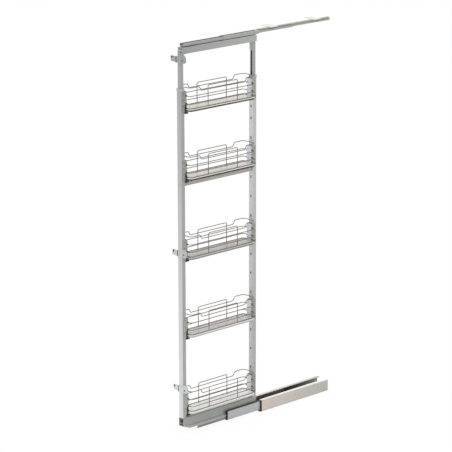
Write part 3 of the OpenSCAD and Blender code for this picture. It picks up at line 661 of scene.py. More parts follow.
class Shape:
    """A mesh in millimetres that grows from sweeps, lathes and extrusions."""

    def __init__(self) -> None:
        """Starts empty."""
        self.bm = bmesh.new()

    def skin(self, loops: list[list[Vector]], closed: bool) -> None:
        """Joins loops of equal length into a surface.

        Args:
            loops: The loops of points in order.
            closed: True joins the last loop to the first, False caps both ends.
        """
        rings = [[self.bm.verts.new(point) for point in loop] for loop in loops]
        count = len(rings[0])
        pairs = list(zip(rings, rings[1:]))
        if closed:
            pairs.append((rings[-1], rings[0]))
        for first, second in pairs:
            for i in range(count):
                j = (i + 1) % count
                self.bm.faces.new((first[i], first[j], second[j], second[i]))
        if not closed:
            self.bm.faces.new(list(reversed(rings[0])))
            self.bm.faces.new(rings[-1])

    def wire(self, path: list[Vector], radius: float, sides: int, closed: bool) -> None:
        """Sweeps a round section along a path with no twist.

        Args:
            path: Points of the centre line.
            radius: Radius of the wire.
            sides: Number of sides of the section.
            closed: True for a ring.
        """
        count = len(path)
        tangents = []
        for i, point in enumerate(path):
            before = path[i - 1] if closed or i else point
            after = path[(i + 1) % count] if closed or i < count - 1 else point
            tangents.append((after - before).normalized())
        side = tangents[0].orthogonal().normalized()
        frames = [side]
        for first, second in zip(tangents, tangents[1:]):
            side = first.rotation_difference(second) @ side
            frames.append((side - second * side.dot(second)).normalized())
        drift = 0.0
        if closed:
            last = tangents[-1].rotation_difference(tangents[0]) @ frames[-1]
            drift = math.atan2(last.cross(frames[0]).dot(tangents[0]), last.dot(frames[0]))
        loops = []
        for i, (point, tangent, across) in enumerate(zip(path, tangents, frames)):
            up = tangent.cross(across)
            angles = [drift * i / count + 2 * math.pi * k / sides for k in range(sides)]
            loops.append([point + radius * (math.cos(a) * across + math.sin(a) * up) for a in angles])
        self.skin(loops, closed)

    def lathe(self, profile: Outline, place: Matrix, segments: int = 24, hollow: bool = False) -> None:
        """Turns a profile of radius and height round Z.

        Args:
            profile: Radius and height of each point, from one end to the other.
            place: Where the turned piece goes.
            segments: Number of segments round the axis.
            hollow: True joins the profile's ends into a ring, False caps them.
        """
        angles = [2 * math.pi * k / segments for k in range(segments)]
        self.skin([
            [place @ Vector((radius * math.cos(a), radius * math.sin(a), height)) for a in angles]
            for radius, height in profile
        ], hollow)

    def extrude(self, outline: Outline, low: float, high: float, edge: float = 0.0) -> None:
        """Raises an outline drawn in X and Y, its rims eased by a small chamfer.

        Args:
            outline: Points of the outline, counter-clockwise.
            low: Height of the lower rim.
            high: Height of the upper rim.
            edge: Width of the chamfer, or 0.
        """
        shape = Shape()
        shape.skin([[Vector((x, y, z)) for x, y in outline] for z in (low, high)], False)
        if edge:
            rims = [e for e in shape.bm.edges if abs(e.verts[0].co.z - e.verts[1].co.z) < LEVEL]
            shape.bevel(rims, edge, 2)
        self.add(shape, HERE)

    def block(self, low: Point, high: Point, edge: float, place: Matrix = HERE) -> None:
        """Adds a block whose edges are all rounded.

        Args:
            low: Lowest corner.
            high: Highest corner.
            edge: Radius of the edges.
            place: Where the block goes.
        """
        shape = Shape()
        bmesh.ops.create_cube(shape.bm, size=1.0)
        low, high = Vector(low), Vector(high)
        for vert in shape.bm.verts:
            vert.co = (low + high) / 2 + (high - low) * vert.co
        shape.bevel(shape.bm.edges[:], edge, 3)
        self.add(shape, place)

    def bevel(self, edges: list[bmesh.types.BMEdge], offset: float, segments: int) -> None:
        """Rounds some edges.

        Args:
            edges: The edges.
            offset: Width of the rounding.
            segments: Number of faces across it.
        """
        bmesh.ops.bevel(
            self.bm, geom=edges, offset=offset, segments=segments, profile=0.5, affect="EDGES",
            clamp_overlap=True,
        )

    def add(self, other: "Shape", place: Matrix) -> None:
        """Moves another shape in, and ends it.

        Args:
            other: The shape to add.
            place: Where it goes.
        """
        bmesh.ops.transform(other.bm, matrix=place, verts=other.bm.verts)
        mesh = bpy.data.meshes.new("part")
        other.bm.to_mesh(mesh)
        other.bm.free()
        self.bm.from_mesh(mesh)
        bpy.data.meshes.remove(mesh)

    def bead(self, middle: Vector, radii: Point) -> None:
        """Adds a small rounded bead of weld metal, given by its middle and its half sizes."""
        place = Matrix.Translation(middle) @ Matrix.Diagonal((*radii, 1.0))
        bmesh.ops.create_icosphere(self.bm, subdivisions=2, radius=1.0, matrix=place)

    def mesh(self, name: str) -> Mesh:
        """Stores the shape as a mesh in metres.

        Args:
            name: The mesh's name.

        Returns:
            The mesh, smooth except at its sharp edges.
        """
        bmesh.ops.recalc_face_normals(self.bm, faces=self.bm.faces)
        bmesh.ops.transform(self.bm, matrix=Matrix.Scale(MM, 4), verts=self.bm.verts)
        return stored(self.bm, name)


def stored(bm: bmesh.types.BMesh, name: str) -> Mesh:
    """Stores mesh data, and ends its editing copy.

    Args:
        bm: The editing copy.
        name: The mesh's name.

    Returns:
        The mesh, smooth except at its sharp edges.
    """
    mesh = bpy.data.meshes.new(name)
    bm.to_mesh(mesh)
    bm.free()
    return softened(mesh)


def softened(mesh: Mesh, angle: float = 32.0) -> Mesh:
    """Shades a mesh smooth, and keeps the edges sharp that turn more than the angle.

    Args:
        mesh: The mesh.
        angle: The angle, in degrees.

    Returns:
        The same mesh.
    """
    mesh.shade_smooth()
    mesh.set_sharp_from_angle(angle=math.radians(angle))
    return mesh


def rounded(
    corners: list[Vector], radii: list[float], closed: bool, step: float = 11.0
) -> list[Vector]:
    """Rounds the corners of a path with arcs.

    Args:
        corners: Corner points.
        radii: Bend radius at each corner.
        closed: True if the path runs back to its start.
        step: Largest angle between two points of an arc, in degrees.

    Returns:
        The points of the rounded path.
    """
    count = len(corners)
    path = []
    for i, corner in enumerate(corners):
        arrive = (corner - corners[i - 1]).normalized()
        leave = (corners[(i + 1) % count] - corner).normalized()
        full = arrive.angle(leave)
        end = not closed and i in (0, count - 1)
        if end or full < STRAIGHT or not radii[i]:
            path.append(corner)
            continue
        inward = (leave - arrive * arrive.dot(leave)).normalized()
        centre = corner - arrive * radii[i] * math.tan(full / 2) + inward * radii[i]
        steps = max(2, math.ceil(math.degrees(full) / step))
        for k in range(steps + 1):
            angle = full * k / steps
            path.append(centre + radii[i] * (math.sin(angle) * arrive - math.cos(angle) * inward))
    return path


def cut(body: Mesh, tool: Mesh) -> Mesh:
    """Takes one closed mesh out of another.

    Args:
        body: The mesh that is cut; it is removed.
        tool: The mesh that cuts; it is removed.

    Returns:
        The cut mesh.
    """
    first, second = (bpy.data.objects.new("cut", mesh) for mesh in (body, tool))
    for obj in (first, second):
        bpy.context.scene.collection.objects.link(obj)
    modifier = first.modifiers.new("cut", "BOOLEAN")
    modifier.operation = "DIFFERENCE"
    modifier.solver = "EXACT"
    modifier.object = second
    bpy.context.view_layer.update()
    graph = bpy.context.evaluated_depsgraph_get()
    result = bpy.data.meshes.new_from_object(first.evaluated_get(graph), depsgraph=graph)
    for obj, mesh in ((first, body), (second, tool)):
        bpy.data.objects.remove(obj)
        bpy.data.meshes.remove(mesh)
    return softened(result)


def moved(mesh: Mesh, name: str, place: Matrix) -> Mesh:
    """Copies a mesh to another place, its faces turned right again after a mirror.

    Args:
        mesh: The mesh to copy, in metres.
        name: The copy's name.
        place: The move, in metres.

    Returns:
        The copy.
    """
    copy = mesh.copy()
    copy.name = name
    copy.transform(place)
    if place.determinant() < 0:
        copy.flip_normals()
    return copy


def joined(name: str, meshes: list[Mesh]) -> Mesh:
    """Joins meshes into one.

    Args:
        name: The new mesh's name.
        meshes: The meshes, which are removed.

    Returns:
        The new mesh.
    """
    together = bmesh.new()
    for mesh in meshes:
        together.from_mesh(mesh)
        bpy.data.meshes.remove(mesh)
    return stored(together, name)


@dataclass
class Wardrobe:
    """The finished materials, and the calls that put them on pieces and nodes."""

    frame: dict
    materials: dict[str, bpy.types.Material]
    pieces: list[str] = field(default_factory=list)

    def dress(self, node: str, finish: str) -> None:
        """Gives a node of the frame its material.

        Args:
            node: The node's name.
            finish: The finish's name.
        """
        obj = self.frame["nodes"][node]
        if not obj.material_slots:
            obj.data.materials.append(None)
        for slot in obj.material_slots:
            slot.material = self.materials[finish]
        LOG.info("node %s wears %s", node, finish)

    def place(self, name: str, mesh: Mesh, body: str, slot: str, finish: str, *nodes: str) -> None:
        """Adds a piece that rides on a body.

        Args:
            name: The piece's name.
            mesh: Its mesh, in metres.
            body: The body that carries it.
            slot: The record's material slot; not used.
            finish: The finish's name.
            nodes: The nodes that it stands for.
        """
        obj = bpy.data.objects.new(name, mesh)
        bpy.context.scene.collection.objects.link(obj)
        mesh.materials.clear()
        mesh.materials.append(self.materials[finish])
        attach(obj, body)
        if nodes:
            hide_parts(*nodes)
        self.pieces.append(name)
        LOG.info("piece %s rides on %s, %d faces", name, body, len(mesh.polygons))


# ---------------------------------------------------------------- baskets


@dataclass
class WireBasket:
    """One basket: three level wires, the wavy rim wire, two hoops, their welds and the tray."""

    number: int
    wire: float = 4.0
    ring_bend: float = 18.0
    bend: float = 7.0
    levels: tuple[float, ...] = (0.0, 23.0, 61.0)
    rim: float = 82.0
    rise: float = 20.0
    raised: float = 61.0
    slope: float = 13.0
    hoop_top: float = 101.0
    hoop_in: float = 3.4
    hoop_legs: tuple[float, float] = (-360.0, -168.0)
    foot: float = -2.0
    sides: int = 14
    weld_radii: Point = (1.5, 1.9, 1.9)

    def __post_init__(self) -> None:
        """Reads the basket's place from the frame."""
        self.node = f"basket_{self.number}_wires"
        low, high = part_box(self.node)
        half = self.wire / 2
        self.side = high.x / MM - half
        self.front = low.y / MM + half
        self.back = high.y / MM - half
        self.base = low.z / MM - self.foot

    def build(self, wardrobe: Wardrobe) -> None:
        """Builds the wires and dresses the tray.

        Args:
            wardrobe: Where the piece is kept.
        """
        shape = Shape()
        ends = [(-self.side, self.front), (-self.side, self.back)]
        ends += [(self.side, self.back), (self.side, self.front)]
        for level in self.levels:
            corners = [Vector((x, y, self.base + level)) for x, y in ends]
            shape.wire(rounded(corners, [self.ring_bend] * 4, True), self.wire / 2, self.sides, True)
        shape.wire(self.rim_path(), self.wire / 2, self.sides, True)
        for side in SIDES:
            shape.wire(self.hoop_path(side), self.wire / 2, self.sides, False)
            for y in self.hoop_legs:
                for level in (*self.levels, self.rim):
                    middle = Vector((side * (self.side - self.hoop_in / 2), y, self.base + level))
                    shape.bead(middle, self.weld_radii)
        name, mesh = f"wire_basket_{self.number}", shape.mesh(self.node + "_round")
        wardrobe.place(name, mesh, "frame", "chrome_wire", "chrome wire", self.node)
        wardrobe.dress(f"basket_{self.number}_tray", f"tray sheet {self.number}")

    def rim_path(self) -> list[Vector]:
        """Draws the wavy rim wire, raised at both ends.

        Returns:
            Points of its centre line.
        """
        low = self.base + self.rim
        high = low + self.rise
        half = []
        for end, inward in ((self.front, 1), (self.back, -1)):
            crest = end + inward * self.raised
            part = [(end, high), (crest, high), (crest + inward * self.slope, low)]
            half += part[::inward]
        corners = [Vector((-self.side, y, z)) for y, z in half]
        corners += [Vector((self.side, y, z)) for y, z in reversed(half)]
        return rounded(corners, [self.ring_bend, *[self.bend] * 4, self.ring_bend] * 2, True)

    def hoop_path(self, side: int) -> list[Vector]:
        """Draws one hoop.

        Args:
            side: 1 or -1.

        Returns:
            Points of its centre line.
        """
        near, far = self.hoop_legs
        top, foot = self.base + self.hoop_top, self.base + self.foot
        spots = [(near, foot), (near, top), (far, top), (far, foot)]
        corners = [Vector((side * (self.side - self.hoop_in), y, z)) for y, z in spots]
        return rounded(corners, [0.0, self.bend, self.bend, 0.0], False)


@dataclass
class EndBrackets:
    """The pressed U brackets that hook each basket on the posts, front and rear."""

    width: float = 34.9
    sheet: float = 2.0
    hug: float = 15.0
    web: float = 11.0
    below: float = 19.0
    height: float = 102.0
    bend: float = 3.2
    rim_edge: float = 0.35
    wire_bore: float = 2.3
    wire_levels: tuple[float, ...] = (0.0, 23.0, 61.0)
    light_holes: tuple[float, ...] = (11.5, 42.0, 73.0)
    light_bore: float = 2.6
    screw_down: float = -6.0
    screw_bore: float = 2.0
    bore_segments: int = 28
    half_post: float = 11.25
    end_gap: float = 9.0
    tongue: tuple[float, float] = (25.5, 28.5)
    tongue_half: float = 2.5
    tongue_back: float = -5.0
    tongue_edge: float = 0.5
    tongue_into_web: float = 0.4
    tip_low: float = 21.0
    tip_front: float = -2.6
    plug_radius: float = 2.5
    plug_levels: Point = (0.1, 1.3, 1.6)
    plug_segments: int = 20
    bush: float = 4.8
    bush_bore: float = 2.05
    bush_levels: Point = (-0.05, 1.0, 1.7)
    bush_segments: int = 22
    ease: float = 0.7

    def outline(self) -> Outline:
        """Draws the bracket's section, a bent strip seen from above.

        Returns:
            Points of the outline, counter-clockwise.
        """
        path = []
        for sheet, bend, way in ((0.0, self.bend, 1), (self.sheet, self.bend - self.sheet, -1)):
            half, web = way * (self.width / 2 - sheet), self.web + self.sheet - sheet
            corners = [(-half, -self.hug), (-half, web), (half, web), (half, -self.hug)]
            path += rounded([Vector((x, y, 0)) for x, y in corners], [0, bend, bend, 0], False)
        return [(p.x, p.y) for p in reversed(path)]

    def mesh(self) -> Mesh:
        """Makes a bracket on a post whose inner face is at Y 0.

        Returns:
            The mesh.
        """
        shape = Shape()
        shape.extrude(self.outline(), -self.below, self.height - self.below, self.rim_edge)
        bores = [(self.end_gap, z, self.wire_bore) for z in self.wire_levels]
        bores += [(-self.hug / 2, z, self.light_bore) for z in self.light_holes]
        bores.append((-self.half_post, self.screw_down, self.screw_bore))
        drill = Shape()
        for y, z, radius in bores:
            bore = [(radius, -self.width), (radius, self.width)]
            drill.lathe(bore, at(0, y, z, "Y", 1), self.bore_segments)
        hook = Shape()
        low, high = self.tongue
        for bottom, front in ((low, self.web + self.tongue_into_web), (self.tip_low, self.tip_front)):
            back = (-self.tongue_half, self.tongue_back, bottom)
            hook.block(back, (self.tongue_half, front, high), self.tongue_edge)
        return joined("bracket", [cut(shape.mesh("plate"), drill.mesh("drill")), hook.mesh("hook")])

    def build(self, wardrobe: Wardrobe) -> None:
        """Places the ten brackets, and as one piece the black plugs and bushes that darken their holes
        as painted shadow.

        Args:
            wardrobe: Where the pieces are kept.
        """
        bracket = self.mesh()
        black = Shape()
        for number in BASKETS:
            for end, turn, zinc in (("front", 1, "front bracket zinc"), ("rear", -1, "bracket zinc")):
                node = f"basket_{number}_{end}_bracket"
                low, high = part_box(node)
                face = low.y + self.hug * MM if turn > 0 else high.y - self.hug * MM
                base = low.z + self.below * MM
                spot = at(0, face, base) @ Matrix.Diagonal((1, turn, 1, 1))
                name, mesh = f"pressed_bracket_{end}_{number}", moved(bracket, node + "_pressed", spot)
                wardrobe.place(name, mesh, "frame", "bracket_steel", zinc, node)
                self.hole_shadow_fillers(black, face / MM, base / MM, turn)
        wardrobe.place("bracket_hole_shadow_plugs", black.mesh("plugs"), "frame", *MOULDING)

    def hole_shadow_fillers(self, shape: Shape, face: float, base: float, turn: int) -> None:
        """Adds one bracket's black plugs in its side holes and black bushes at its level wires' holes,
        as painted shadow.

        Args:
            shape: The shape to add to.
            face: Y of the post's inner face.
            base: Height of the basket's bottom wire.
            turn: 1 for a front bracket, -1 for a rear one.
        """
        wall = self.width / 2
        inner, rim, end = (wall - self.sheet + level for level in self.plug_levels)
        plug = [(self.plug_radius, inner), (self.plug_radius, rim), (self.plug_radius - self.ease, end)]
        inner, rim, end = (wall + level for level in self.bush_levels)
        bush = [(self.bush_bore, inner), (self.bush, inner), (self.bush, rim)]
        bush += [(self.bush - self.ease, end), (self.bush_bore, end)]
        for profile, heights, y, segments, hollow in (
            (plug, self.light_holes, face - turn * self.hug / 2, self.plug_segments, False),
            (bush, self.wire_levels, face + turn * self.end_gap, self.bush_segments, True),
        ):
            for z in heights:
                for side in SIDES:
                    shape.lathe(profile, at(0, y, base + z, "Y", side), segments, hollow)


@dataclass
class Latches:
    """Black moulded latches round the lower ends of the front brackets."""

    wall: float = 3.0
    arm_depth: float = 7.0
    arm_from: float = 0.5
    arm_edge: float = 1.0
    foot: float = 8.0
    foot_depth: float = 21.0
    foot_gap: float = 0.9
    foot_edge: float = 1.6
    up: float = 38.0
    ridges: int = 4
    ridge_step: float = 3.2
    ridge_down: float = 5.0
    ridge_tall: float = 1.5
    ridge_proud: float = 0.6
    ridge_in: tuple[float, float] = (0.4, 0.05)
    ridge_back: float = 0.2
    ridge_edge: float = 0.5

    def build(self, wardrobe: Wardrobe) -> None:
        """Builds the five latches, each with thumb ridges on its arms' upper ends, as one piece.

        Args:
            wardrobe: Where the piece is kept.
        """
        low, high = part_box("basket_clips")
        half = high.x / MM
        top = self.foot + self.up
        front = self.arm_depth + self.ridge_proud
        shape = Shape()
        for number in BASKETS:
            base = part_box(f"basket_{number}_front_bracket")[0].z / MM - self.foot
            here = at(0, low.y / MM, base)
            foot_top = (half, self.foot_depth, self.foot - self.foot_gap)
            shape.block((-half, 0, 0), foot_top, self.foot_edge, here)
            for side in SIDES:
                near, far = sorted((side * (half - self.wall), side * half))
                shape.block((near, 0, self.arm_from), (far, self.arm_depth, top), self.arm_edge, here)
                for i in range(self.ridges):
                    z = top - self.ridge_down - self.ridge_step * i
                    start = (near + self.ridge_in[0], self.ridge_back, z)
                    end = (far - self.ridge_in[1], front, z + self.ridge_tall)
                    shape.block(start, end, self.ridge_edge, here)
        wardrobe.place("basket_latches", shape.mesh("latches"), "frame", *MOULDING, "basket_clips")


@dataclass
class BracketBushes:
    """Black moulded bushes in the ear and in the slot of each door bracket."""

    ear_x: float = 28.25
    tab_x: float = -51.25
    tab_up: float = 7.4
    middle: float = 15.0
    plate: float = 2.5
    joggle: float = 5.0
    bore: float = 2.1
    tab_bore: float = 2.5
    ear_rim: float = 3.9
    tab_rim: float = 5.0
    seat: float = -0.02
    proud: float = 1.2
    shoulder: float = 0.6
    hole: tuple[float, float] = (1.2, 0.9)
    hole_floor: float = 0.3

    def build(self, wardrobe: Wardrobe) -> None:
        """Builds the bushes of the lower brackets as one piece, and those of the top one as another.

        Args:
            wardrobe: Where the pieces are kept.
        """
        for name, body, nodes in (
            ("lower_bracket_bushes", "frame", ("door_bracket_bottom", "door_bracket_middle")),
            ("top_bracket_bushes", "upper_frame", ("door_bracket_top",)),
        ):
            shape = Shape()
            for node in nodes:
                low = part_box(node)[0] / MM
                z = low.z + self.middle
                self.bush(shape, (self.ear_x, low.y, z), self.bore, self.ear_rim)
                tab = (self.tab_x, low.y + self.joggle, z + self.tab_up)
                self.bush(shape, tab, self.tab_bore, self.tab_rim)
            wardrobe.place(name, shape.mesh(name), body, *MOULDING)

    def bush(self, shape: Shape, front: Point, bore: float, rim: float) -> None:
        """Adds one bush whose collar lies on the plate's front face.

        Args:
            shape: The shape to add to.
            front: The middle of the hole on the plate's front face.
            bore: Radius of the hole that it fills.
            rim: Radius of the collar.
        """
        mouth, bottom = self.hole
        profile = [(bore, -self.plate), (bore, self.seat), (rim, self.seat)]
        profile += [(rim, self.shoulder * self.proud), (rim - self.shoulder, self.proud)]
        profile += [(mouth, self.proud), (bottom, self.hole_floor)]
        shape.lathe(profile, at(*front, "X", 1))


# ---------------------------------------------------------------- fasteners


@dataclass(frozen=True)
class Screw:
    """One kind of pan-head screw with a cross recess, and the node that its copies stand for."""

    piece: str
    node: str
    head: float
    height: float
    shank: float
    length: float
    body: str = "frame"
    slot: str = "bright_steel"
    finish: str = "bright steel"
    recess: float = 0.62
    blade: float = 0.28
    depth: float = 0.55
    above: float = 2.0
    tip: tuple[float, float] = (0.6, 0.8)
    segments: int = 26
    rim: float = 0.35
    dome: tuple[float, ...] = (0.35, 0.7, 1.05, 1.4)

    def mesh(self) -> Mesh:
        """Makes the screw; its head's underside is at Z 0, the head on the +Z side.

        Returns:
            The mesh, in metres.
        """
        head, height, shank = self.head, self.height, self.shank
        share, taper = self.tip
        profile = [(shank * share, -self.length), (shank, -self.length + taper), (shank, 0.0)]
        profile += [(head, 0.0), (head, height * self.rim)]
        for angle in self.dome:
            rise = self.rim + (1 - self.rim) * math.sin(angle)
            profile.append((head * math.cos(angle), height * rise))
        shape = Shape()
        shape.lathe(profile, HERE, self.segments)
        long, thin = head * self.recess, head * self.blade / 2
        quarter = [(long, -thin), (long, thin), (thin, thin)]
        cross = []
        for _ in range(4):
            cross += quarter
            quarter = [(-y, x) for x, y in quarter]
        tool = Shape()
        tool.extrude(cross, height * (1 - self.depth), height + self.above)
        return cut(shape.mesh("screw"), tool.mesh("recess"))

    def build(self, wardrobe: Wardrobe, spots: list[Matrix]) -> None:
        """Places copies of the screw as one piece.

        Args:
            wardrobe: Where the piece is kept.
            spots: Where each copy goes.
        """
        screw = self.mesh()
        mesh = joined(self.piece, [moved(screw, "copy", spot) for spot in spots])
        wardrobe.place(self.piece, mesh, self.body, self.slot, self.finish, self.node)


@dataclass
class Fasteners:
    """Every screw that shows."""

    basket: Screw = Screw(
        "basket_screw_heads", "basket_screws", 3.6, 1.6, 2.0, 4.1, "frame", "black_screw", "black oxide"
    )
    door: tuple[Screw, ...] = tuple(
        Screw(piece, node, 4.0, 2.0, 2.2, 9.0, body, *PLATE)
        for piece, node, body in (
            ("door_screw_heads", "door_bracket_screws", "frame"),
            ("top_door_screw_head", "top_door_screw", "upper_frame"),
        )
    )
    bar: Screw = Screw("cross_bar_screw_heads", "cross_bar_screws", 4.0, 1.8, 2.2, 34.5)
    clamp: Screw = Screw("clamp_screw_heads", "collar_screws", 4.0, 2.0, 2.5, 2.0)
    basket_up: float = 13.0

    def build(self, wardrobe: Wardrobe) -> None:
        """Places each set of screws.

        Args:
            wardrobe: Where the pieces are kept.
        """
        low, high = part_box(self.basket.node)
        seat, middle = high.x - self.basket.height * MM, (low.y + high.y) / 2
        spots = []
        for number in BASKETS:
            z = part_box(f"basket_{number}_rear_bracket")[0].z + self.basket_up * MM
            spots += [at(side * seat, middle, z, "Y", side) for side in reversed(SIDES)]
        self.basket.build(wardrobe, spots)
        for screw in self.door:
            low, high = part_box(screw.node)
            radius = screw.head * MM
            heights = [low.z + radius, high.z - radius]
            if high.z - low.z < 3 * radius:
                heights.pop()
            screw.build(wardrobe, [at(0, low.y + screw.height * MM, z, "X", 1) for z in heights])
        low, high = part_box(self.bar.node)
        radius, height = self.bar.head * MM, self.bar.height * MM
        spots = []
        for z in (low.z + radius, high.z - radius):
            spots += [at(0, low.y + height, z, "X", 1), at(0, high.y - height, z, "X", -1)]
        self.bar.build(wardrobe, spots)
        low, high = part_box(self.clamp.node)
        radius, seat = self.clamp.head * MM, high.x - self.clamp.height * MM
        middle = (low.z + high.z) / 2
        spots = [at(seat, y, middle, "Y", 1) for y in (low.y + radius, high.y - radius)]
        self.clamp.build(wardrobe, spots)


# ---------------------------------------------------------------- frame, slides and guide


@dataclass
class FrameAndSlides:
    """The nodes that keep their CAD shape, each with the finish that it wears."""

    finishes: dict[str, tuple[str, ...]] = field(default_factory=lambda: {
        "front post zinc": ("front_lower_post",),
        "front upper zinc": ("front_upper_post",),
        "rear post zinc": ("rear_lower_post",),
        "rear upper zinc": ("rear_upper_post",),
        "beam zinc": ("bottom_beam",),
        "top beam zinc": ("top_beam",),
        "bar zinc": ("cross_bar",),
        "rail steel": ("pull_out_rail",),
        "guide steel": ("top_frame_rail", "top_middle_rail"),
        # painted shadow in the gap under the top rail
        "spacer gap shadow": ("top_rail_spacers",),
        "cabinet rail steel": ("top_cabinet_rail",),
        "housing paint": ("damper_housing", "damper_end_cap"),
        "collar paint": ("front_collar", "rear_collar"),
        "bracket plate": (
            "door_bracket_bottom", "door_bracket_middle", "door_bracket_top",
            "front_top_bracket", "rear_top_bracket",
        ),
        "slide steel": ("middle_profile",),
        "channel paint": ("cabinet_channel",),
        "pale plate": ("top_wings",),
        "bright steel": (
            "outer_balls", "inner_balls", "outer_cages", "inner_cages", "rail_rivets", "post_screws",
        ),
        "black moulding": ("channel_stop", "channel_guide", "middle_front_cap", "post_plugs"),
    })

    def build(self, wardrobe: Wardrobe) -> None:
        """Dresses every node.

        Args:
            wardrobe: Where the materials are kept.
        """
        for finish, nodes in self.finishes.items():
            for node in nodes:
                wardrobe.dress(node, finish)


# ---------------------------------------------------------------- stage, lamp and camera


@dataclass(frozen=True)
class SkyLamp:
    """A soft lamp as wide as a bright sky, that looks at a point."""

    name: str = "overhead"
    place: Point = (0.4, -0.9, 6.0)
    target: Point = (0.0, 0.0, 0.9)
    width: float = 50.0
    power: float = 1.4

    def build(self) -> None:
        """Adds the lamp; its width is an angle in degrees."""
        data = bpy.data.lights.new(self.name, "SUN")
        data.angle = math.radians(self.width)
        data.energy = self.power
        lamp = bpy.data.objects.new(self.name, data)
        bpy.context.scene.collection.objects.link(lamp)
        lamp.location = self.place
        ahead = Vector(self.target) - Vector(self.place)
        lamp.rotation_euler = ahead.to_track_quat("-Z", "Y").to_euler()
        LOG.info("lamp %s", self.name)


@dataclass
class Studio:
    """The pale floor, the white surroundings, the lamp and the camera."""

    floor_half: float = 60.0
    floor_drop: float = 0.0006
    floor_white: float = 0.9
    floor_glow: float = 0.95
    ambient: float = 0.7
    azimuth: float = 47.703
    pitch: float = 15.593
    roll: float = -0.114
    focal_px: float = 2317.2
    place: Point = (8.1902, -7.6602, 4.109)
    sensor: float = 36.0
    far_clip: float = 200.0
    lamp: SkyLamp = SkyLamp()

    def build(self) -> None:
        """Builds all of it."""
        self.build_floor()
        self.build_world()
        self.lamp.build()
        self.build_camera()
        bpy.context.scene.view_settings.view_transform = "Standard"

    def build_floor(self) -> None:
        """Adds the floor, white where it is seen straight or in a reflection, with a faint shadow."""
        half, low = self.floor_half, -self.floor_drop
        corners = [(-half, -half, low), (half, -half, low), (half, half, low), (-half, half, low)]
        mesh = bpy.data.meshes.new("floor")
        mesh.from_pydata(corners, [], [(0, 1, 2, 3)])
        floor = bpy.data.objects.new("floor", mesh)
        bpy.context.scene.collection.objects.link(floor)
        material = bpy.data.materials.new("floor white")
        material.use_nodes = True
        tree = Tree(material.node_tree)
        lit = tree.add("ShaderNodeBsdfDiffuse", Color=(self.floor_white,) * 3)
        glow = tree.add("ShaderNodeEmission", Color=WHITE, Strength=1.0)
        factor = tree.math("MULTIPLY", tree.seen(), self.floor_glow)
        tree.output("ShaderNodeOutputMaterial", factor, lit, glow)
        mesh.materials.append(material)

    def build_world(self) -> None:
        """Makes the surroundings white to the eye and soft as a light."""
        world = bpy.data.worlds.new("studio")
        bpy.context.scene.world = world
        world.use_nodes = True
        tree = Tree(world.node_tree)
        soft = tree.add("ShaderNodeBackground", Color=WHITE, Strength=self.ambient)
        white = tree.add("ShaderNodeBackground", Color=WHITE, Strength=1.0)
        tree.output("ShaderNodeOutputWorld", tree.seen(), soft, white)

    def build_camera(self) -> None:
        """Adds the camera at the photograph's view."""
        turn, tilt, roll = (math.radians(v) for v in (self.azimuth, self.pitch, self.roll))
        level = math.cos(tilt)
        ahead = Vector((-math.sin(turn) * level, math.cos(turn) * level, -math.sin(tilt)))
        side = Vector((math.cos(turn), math.sin(turn), 0))
        over = side.cross(ahead)
        right = math.cos(roll) * side + math.sin(roll) * over
        up = math.cos(roll) * over - math.sin(roll) * side
        data = bpy.data.cameras.new("photo view")
        data.sensor_fit = "HORIZONTAL"
        data.sensor_width = self.sensor
        data.lens = self.focal_px / PHOTO_PX * self.sensor
        data.clip_end = self.far_clip
        camera = bpy.data.objects.new("photo view", data)
        bpy.context.scene.collection.objects.link(camera)
        matrix = Matrix((right, up, -ahead)).transposed().to_4x4()
        matrix.translation = Vector(self.place)
        camera.matrix_world = matrix
        bpy.context.scene.camera = camera


# ---------------------------------------------------------------- finishes


def tray_finishes() -> list[Finish]:
    """Makes the finish of each tray; a row is the tone of its skirt, its rim and its top, all painted
    light.

    Returns:
        The finishes, from the lowest tray up.
    """
    # each tray has its own copy with painted light: the skirt tone is painted shade and reflection, the
    # rim tone a painted highlight, and the top tone set by how the tray is lit
    tones = (
        ((206, 206, 202), (252, 250, 246), (240, 238, 234)),
        ((184, 182, 178), (245, 243, 239), (199, 195, 191)),
        ((134, 131, 126), (210, 206, 198), (183, 179, 171)),
        ((40, 36, 34), (250, 246, 240), (218, 211, 203)),
        ((44, 40, 36), (250, 245, 236), (211, 207, 197)),
    )
    made = []
    for number, colors in zip(BASKETS, tones):
        skirt, rim, top = (srgb(*color) for color in colors)
        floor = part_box(f"basket_{number}_tray")[0].z
        low, high = (floor + reach for reach in SKIRT_REACH)
        made.append(Finish(
            f"tray sheet {number}", top, shaded(top, DARK_SHARE), 0.0, 0.22, 0.34,
            bump=0.03, coat=0.3, rim=rim, shade_band=PaintedShadeBand(low, high, skirt),
        ))
    return made


def beam_finishes() -> list[TubeFinish]:
    """Makes the finish of the two hollow beams, with painted light inside and along the top beam.

    Returns:
        The finishes.
    """
    made = []
    for name, node, painted_light_fade, inner in (
        ("beam zinc", "bottom_beam", None, srgb(172, 172, 170)),
        ("top beam zinc", "top_beam", PaintedLightFade(1, -0.5, -0.03, 0.98, 1.2), srgb(243, 243, 242)),
    ):
        low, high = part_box(node)
        made.append(TubeFinish(
            name, srgb(165, 168, 164), srgb(159, 162, 158), 0.2, 0.36, 0.48, Grain.ALONG_Y, 0.06, 40.0,
            painted_light_fade=painted_light_fade, axis=2, half=high.x, near=low.z, far=high.z, inner=inner,
        ))
    return made


